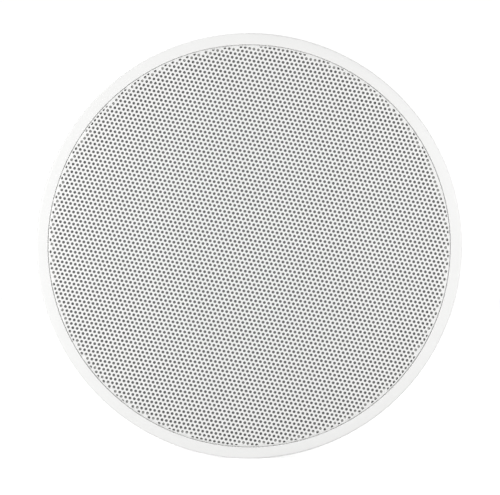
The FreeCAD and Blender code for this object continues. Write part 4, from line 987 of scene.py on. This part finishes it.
class SUBWOOFER_OT_woofer(bpy.types.Operator):
    """Finish the woofer: its basket, cone, coil and motor"""

    bl_idname = "subwoofer.woofer"
    bl_label = "Woofer"

    def execute(self, context):
        # Pressed steel with black stove paint: satin, a little orange peel
        finish_nodes(coated_steel("stove_painted_steel_black", linear("#1c1d1f"), roughness=0.4, peel_mm=1.2,
                                  depth_mm=0.04), "basket")
        # Paper pulp, felted and doped: charcoal, with pale fibres
        finish_nodes(pressed_fibre("paper_pulp_charcoal", linear("#3b3a39"), dark=linear("#201f1f"),
                                   roughness=0.85, fibre_mm=0.8, depth_mm=0.08), "cone", "dust_cap")
        # Rolled aluminium foil: silvery, with the rolling showing
        finish_nodes(plated_metal("rolled_aluminium", linear("#c6c7c8"), roughness=0.34, marks_mm=2.0),
                     "coil_former")
        # Copper wire, enamelled and wound: red brown, with painted shade between the turns
        finish_nodes(wound_copper("enamelled_copper_wire", linear("#c0703c"), dark=linear("#5a2a12"),
                                  roughness=0.3, wire_mm=0.6), "voice_coil")
        # Mild steel, turned and zinc plated: grey with a yellow cast
        finish_nodes(turned_steel("turned_plated_steel", linear("#a9a698"), roughness=0.36, feed_mm=0.5),
                     "top_plate", "yoke")
        # Ferrite, sintered and ground: dark grey and stony
        finish_nodes(ground_ferrite("ground_ferrite", linear("#3c3c3e"), roughness=0.62, pits_mm=0.9),
                     "magnet_ring")
        # Zinc-plated screws: pale grey, bright
        finish_nodes(plated_metal("zinc_plated_screws", linear("#b4b8bd"), roughness=0.34, marks_mm=1.0),
                     "driver_screws", "terminal_screws")
        # Nickel plate on the holding magnets: bright and slightly warm
        finish_nodes(plated_metal("nickel_plate", linear("#c9c5bb"), roughness=0.22, marks_mm=2.0),
                     "grille_magnets")
        # Pressed wool felt: black grey, hairy
        felt = softened_copy("trim_felt", "trim_ring", FELT_EDGE_R)
        set_finish(felt, pressed_fibre("pressed_wool_felt", linear("#34343a"), dark=linear("#19191c"),
                                       roughness=1.0, fibre_mm=0.9, depth_mm=0.2))
        stand_in(felt, "housing", "trim_ring")
        # Closed-cell foam: black, dull, with fine cells
        gasket = softened_copy("gasket_foam", "driver_gasket", GASKET_EDGE_R)
        set_finish(gasket, soft_polymer("closed_cell_foam", linear("#242426"), roughness=0.9, pore_mm=0.6,
                                        depth_mm=0.15))
        stand_in(gasket, "housing", "driver_gasket")
        return {"FINISHED"}


class SUBWOOFER_OT_wiring(bpy.types.Operator):
    """Finish the terminals, the wires and the springs"""

    bl_idname = "subwoofer.wiring"
    bl_label = "Terminals and wires"

    def execute(self, context):
        # Hard paper, laminated with resin: brown, faintly fibrous and glossy
        finish_nodes(pressed_fibre("laminated_hard_paper", linear("#6b4526"), dark=linear("#4b2d16"),
                                   roughness=0.4, fibre_mm=1.0, depth_mm=0.02), "terminal_strip")
        # Tinned brass: dull silver
        finish_nodes(plated_metal("tinned_brass", linear("#bdbab2"), roughness=0.36, marks_mm=0.8),
                     "terminal_tags", "strip_rivets")
        # Natural nylon: milky and slightly glossy
        finish_nodes(moulded_plastic("natural_nylon_sleeve", linear("#d9d5c8"), roughness=0.35, grain_mm=0.6,
                                     depth_mm=0.02), "connectors")
        # Black ABS with a fine tool texture
        finish_nodes(moulded_plastic("moulded_abs_black", linear("#19191a"), roughness=0.48, grain_mm=0.5,
                                     depth_mm=0.04, specks=0.1), "terminal_block")
        # Spring steel strip: blue grey, rolled
        strip = plated_metal("rolled_spring_steel", linear("#8f949b"), roughness=0.3, marks_mm=1.5)
        codes = (("red", "#b3161b", "#c01a1e"), ("black", "#161617", "#141415"))
        for colour, wire_code, button_code in codes:
            # Extruded PVC: even colour, smooth and waxy
            finish_nodes(moulded_plastic(f"extruded_pvc_{colour}", linear(wire_code), roughness=0.38,
                                         grain_mm=1.5, depth_mm=0.02), f"wire_{colour}")
            # Polished ABS for the push buttons
            finish_nodes(moulded_plastic(f"polished_abs_{colour}", linear(button_code), roughness=0.24,
                                         grain_mm=0.8, depth_mm=0.006), f"button_{colour}")
            spring = merged_copy(f"spring_leaf_{colour}", f"spring_{colour}")
            smooth(spring.data, METAL_CREASE_DEGREES)
            set_finish(spring, strip)
            stand_in(spring, "housing", f"spring_{colour}")
            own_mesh(spring)
        return {"FINISHED"}


class SUBWOOFER_OT_stage(bpy.types.Operator):
    """Set the floor, the soft lights and the camera"""

    bl_idname = "subwoofer.stage"
    bl_label = "Stage"

    def execute(self, context):
        settings = context.scene.subwoofer_stage
        context.scene.view_settings.view_transform = "Standard"
        self.floor(settings)
        self.world(context.scene, settings)
        self.soft_box("key_light", place=(-0.52, -0.5, 0.07), side=0.38, power=settings.key)
        self.soft_box("fill_light", place=(0.5, -0.52, 0.06), side=0.38, power=settings.fill)
        self.soft_box("rear_light", place=(-0.6, 1.7, 1.3), side=1.4, power=settings.rear)
        self.camera(context.scene, settings)
        return {"FINISHED"}

    def floor(self, settings):
        """A pale table of opal acrylic, lit a little from below as in a product studio."""
        half = 4.0
        level = CAD_BOX[0][2]
        mesh = bpy.data.meshes.new("floor")
        corners = [(-half, -half, level), (half, -half, level), (half, half, level), (-half, half, level)]
        mesh.from_pydata(corners, [], [(0, 1, 2, 3)])
        table = link_piece("floor", mesh)
        # Opal acrylic sheet: white and matt, with a faint cloudiness
        opal, tree, shader, place = new_finish(
            "opal_acrylic", linear("#fbfbfb"), roughness=0.8,
            **{"Emission Color": linear("#ffffff"), "Emission Strength": settings.floor_glow})
        cloud = add_node(tree, "ShaderNodeTexNoise", {"Vector": place, "Scale": per_mm(300)})
        vary(tree, shader, tone=(cloud, linear("#f6f6f6"), linear("#ffffff")))
        set_finish(table, opal)
        # The tent's light comes through the sheet, so it neither shades nor tints what stands on it
        table.visible_diffuse = False
        table.visible_shadow = False

    def world(self, scene, settings):
        """White all round for the eye, and the soft light of a tent on the object."""
        white = linear("#ffffff")
        world = bpy.data.worlds.new("studio")
        world.use_nodes = True
        tree = world.node_tree
        tree.nodes.clear()
        # A little over white, so that the background is pure white right up to the object
        seen = add_node(tree, "ShaderNodeBackground", {"Color": white, "Strength": 1.05})
        way = add_node(tree, "ShaderNodeTexCoord").outputs["Generated"]
        axes = add_node(tree, "ShaderNodeSeparateXYZ", {0: way})
        along = add_node(tree, "ShaderNodeMath", {0: axes.outputs["Y"]}, operation="ABSOLUTE")
        tent = add_node(tree, "ShaderNodeMapRange",
                        {"Value": along, "To Min": settings.tent_side, "To Max": settings.tent_front})
        light = add_node(tree, "ShaderNodeBackground", {"Color": white, "Strength": tent})
        path = add_node(tree, "ShaderNodeLightPath")
        both = add_node(tree, "ShaderNodeMixShader",
                        {0: path.outputs["Is Camera Ray"], 1: light, 2: seen})
        add_node(tree, "ShaderNodeOutputWorld", {"Surface": both})
        scene.world = world

    def soft_box(self, name, place, side, power):
        """A square area light that points at the middle of the object."""
        light = bpy.data.lights.new(name, "AREA")
        light.shape = "SQUARE"
        light.size = side
        light.energy = power
        lamp = bpy.data.objects.new(name, light)
        lamp.location = place
        lamp.rotation_euler = (-Vector(place)).to_track_quat("-Z", "Y").to_euler()
        bpy.context.scene.collection.objects.link(lamp)

    def camera(self, scene, settings):
        """A long lens straight in front, with the object a little left of and above the middle."""
        sensor = 36.0
        right = 0.54 * MM
        up = -1.07 * MM
        camera = bpy.data.cameras.new("camera")
        camera.lens = settings.lens
        camera.sensor_width = sensor
        viewer = bpy.data.objects.new("camera", camera)
        distance = settings.view_width * settings.lens / sensor
        viewer.location = (right, RING_FACE - distance, up)
        viewer.rotation_euler = (math.pi / 2, 0, 0)
        scene.collection.objects.link(viewer)
        scene.camera = viewer


class SUBWOOFER_PT_panel(bpy.types.Panel):
    """Settings and steps of the subwoofer"""

    bl_label = "Subwoofer"
    bl_idname = "SUBWOOFER_PT_panel"
    bl_space_type = "VIEW_3D"
    bl_region_type = "UI"
    bl_category = "Subwoofer"

    def draw(self, context):
        scene = context.scene
        for group in (scene.subwoofer_grille, scene.subwoofer_finish, scene.subwoofer_stage):
            box = self.layout.box()
            for name in group.__annotations__:
                box.prop(group, name)
        for step in STEPS:
            self.layout.operator(step.bl_idname)


SETTINGS = {
    "subwoofer_grille": GrilleSettings,
    "subwoofer_finish": FinishSettings,
    "subwoofer_stage": StageSettings,
}
STEPS = (
    SUBWOOFER_OT_stage,
    SUBWOOFER_OT_frame,
    SUBWOOFER_OT_grille,
    SUBWOOFER_OT_scrim,
    SUBWOOFER_OT_surround,
    SUBWOOFER_OT_spider,
    SUBWOOFER_OT_leads,
    SUBWOOFER_OT_clamps,
    SUBWOOFER_OT_woofer,
    SUBWOOFER_OT_wiring,
)


def register():
    for cls in (*SETTINGS.values(), *STEPS, SUBWOOFER_PT_panel):
        bpy.utils.register_class(cls)
    for name, cls in SETTINGS.items():
        setattr(bpy.types.Scene, name, PointerProperty(type=cls))


def unregister():
    for name in SETTINGS:
        delattr(bpy.types.Scene, name)
    for cls in (SUBWOOFER_PT_panel, *reversed(STEPS), *SETTINGS.values()):
        bpy.utils.unregister_class(cls)


def main():
    register()
    for step in STEPS:
        group, name = step.bl_idname.split(".")
        getattr(getattr(bpy.ops, group), name)()


if __name__ == "__main__":
    main()
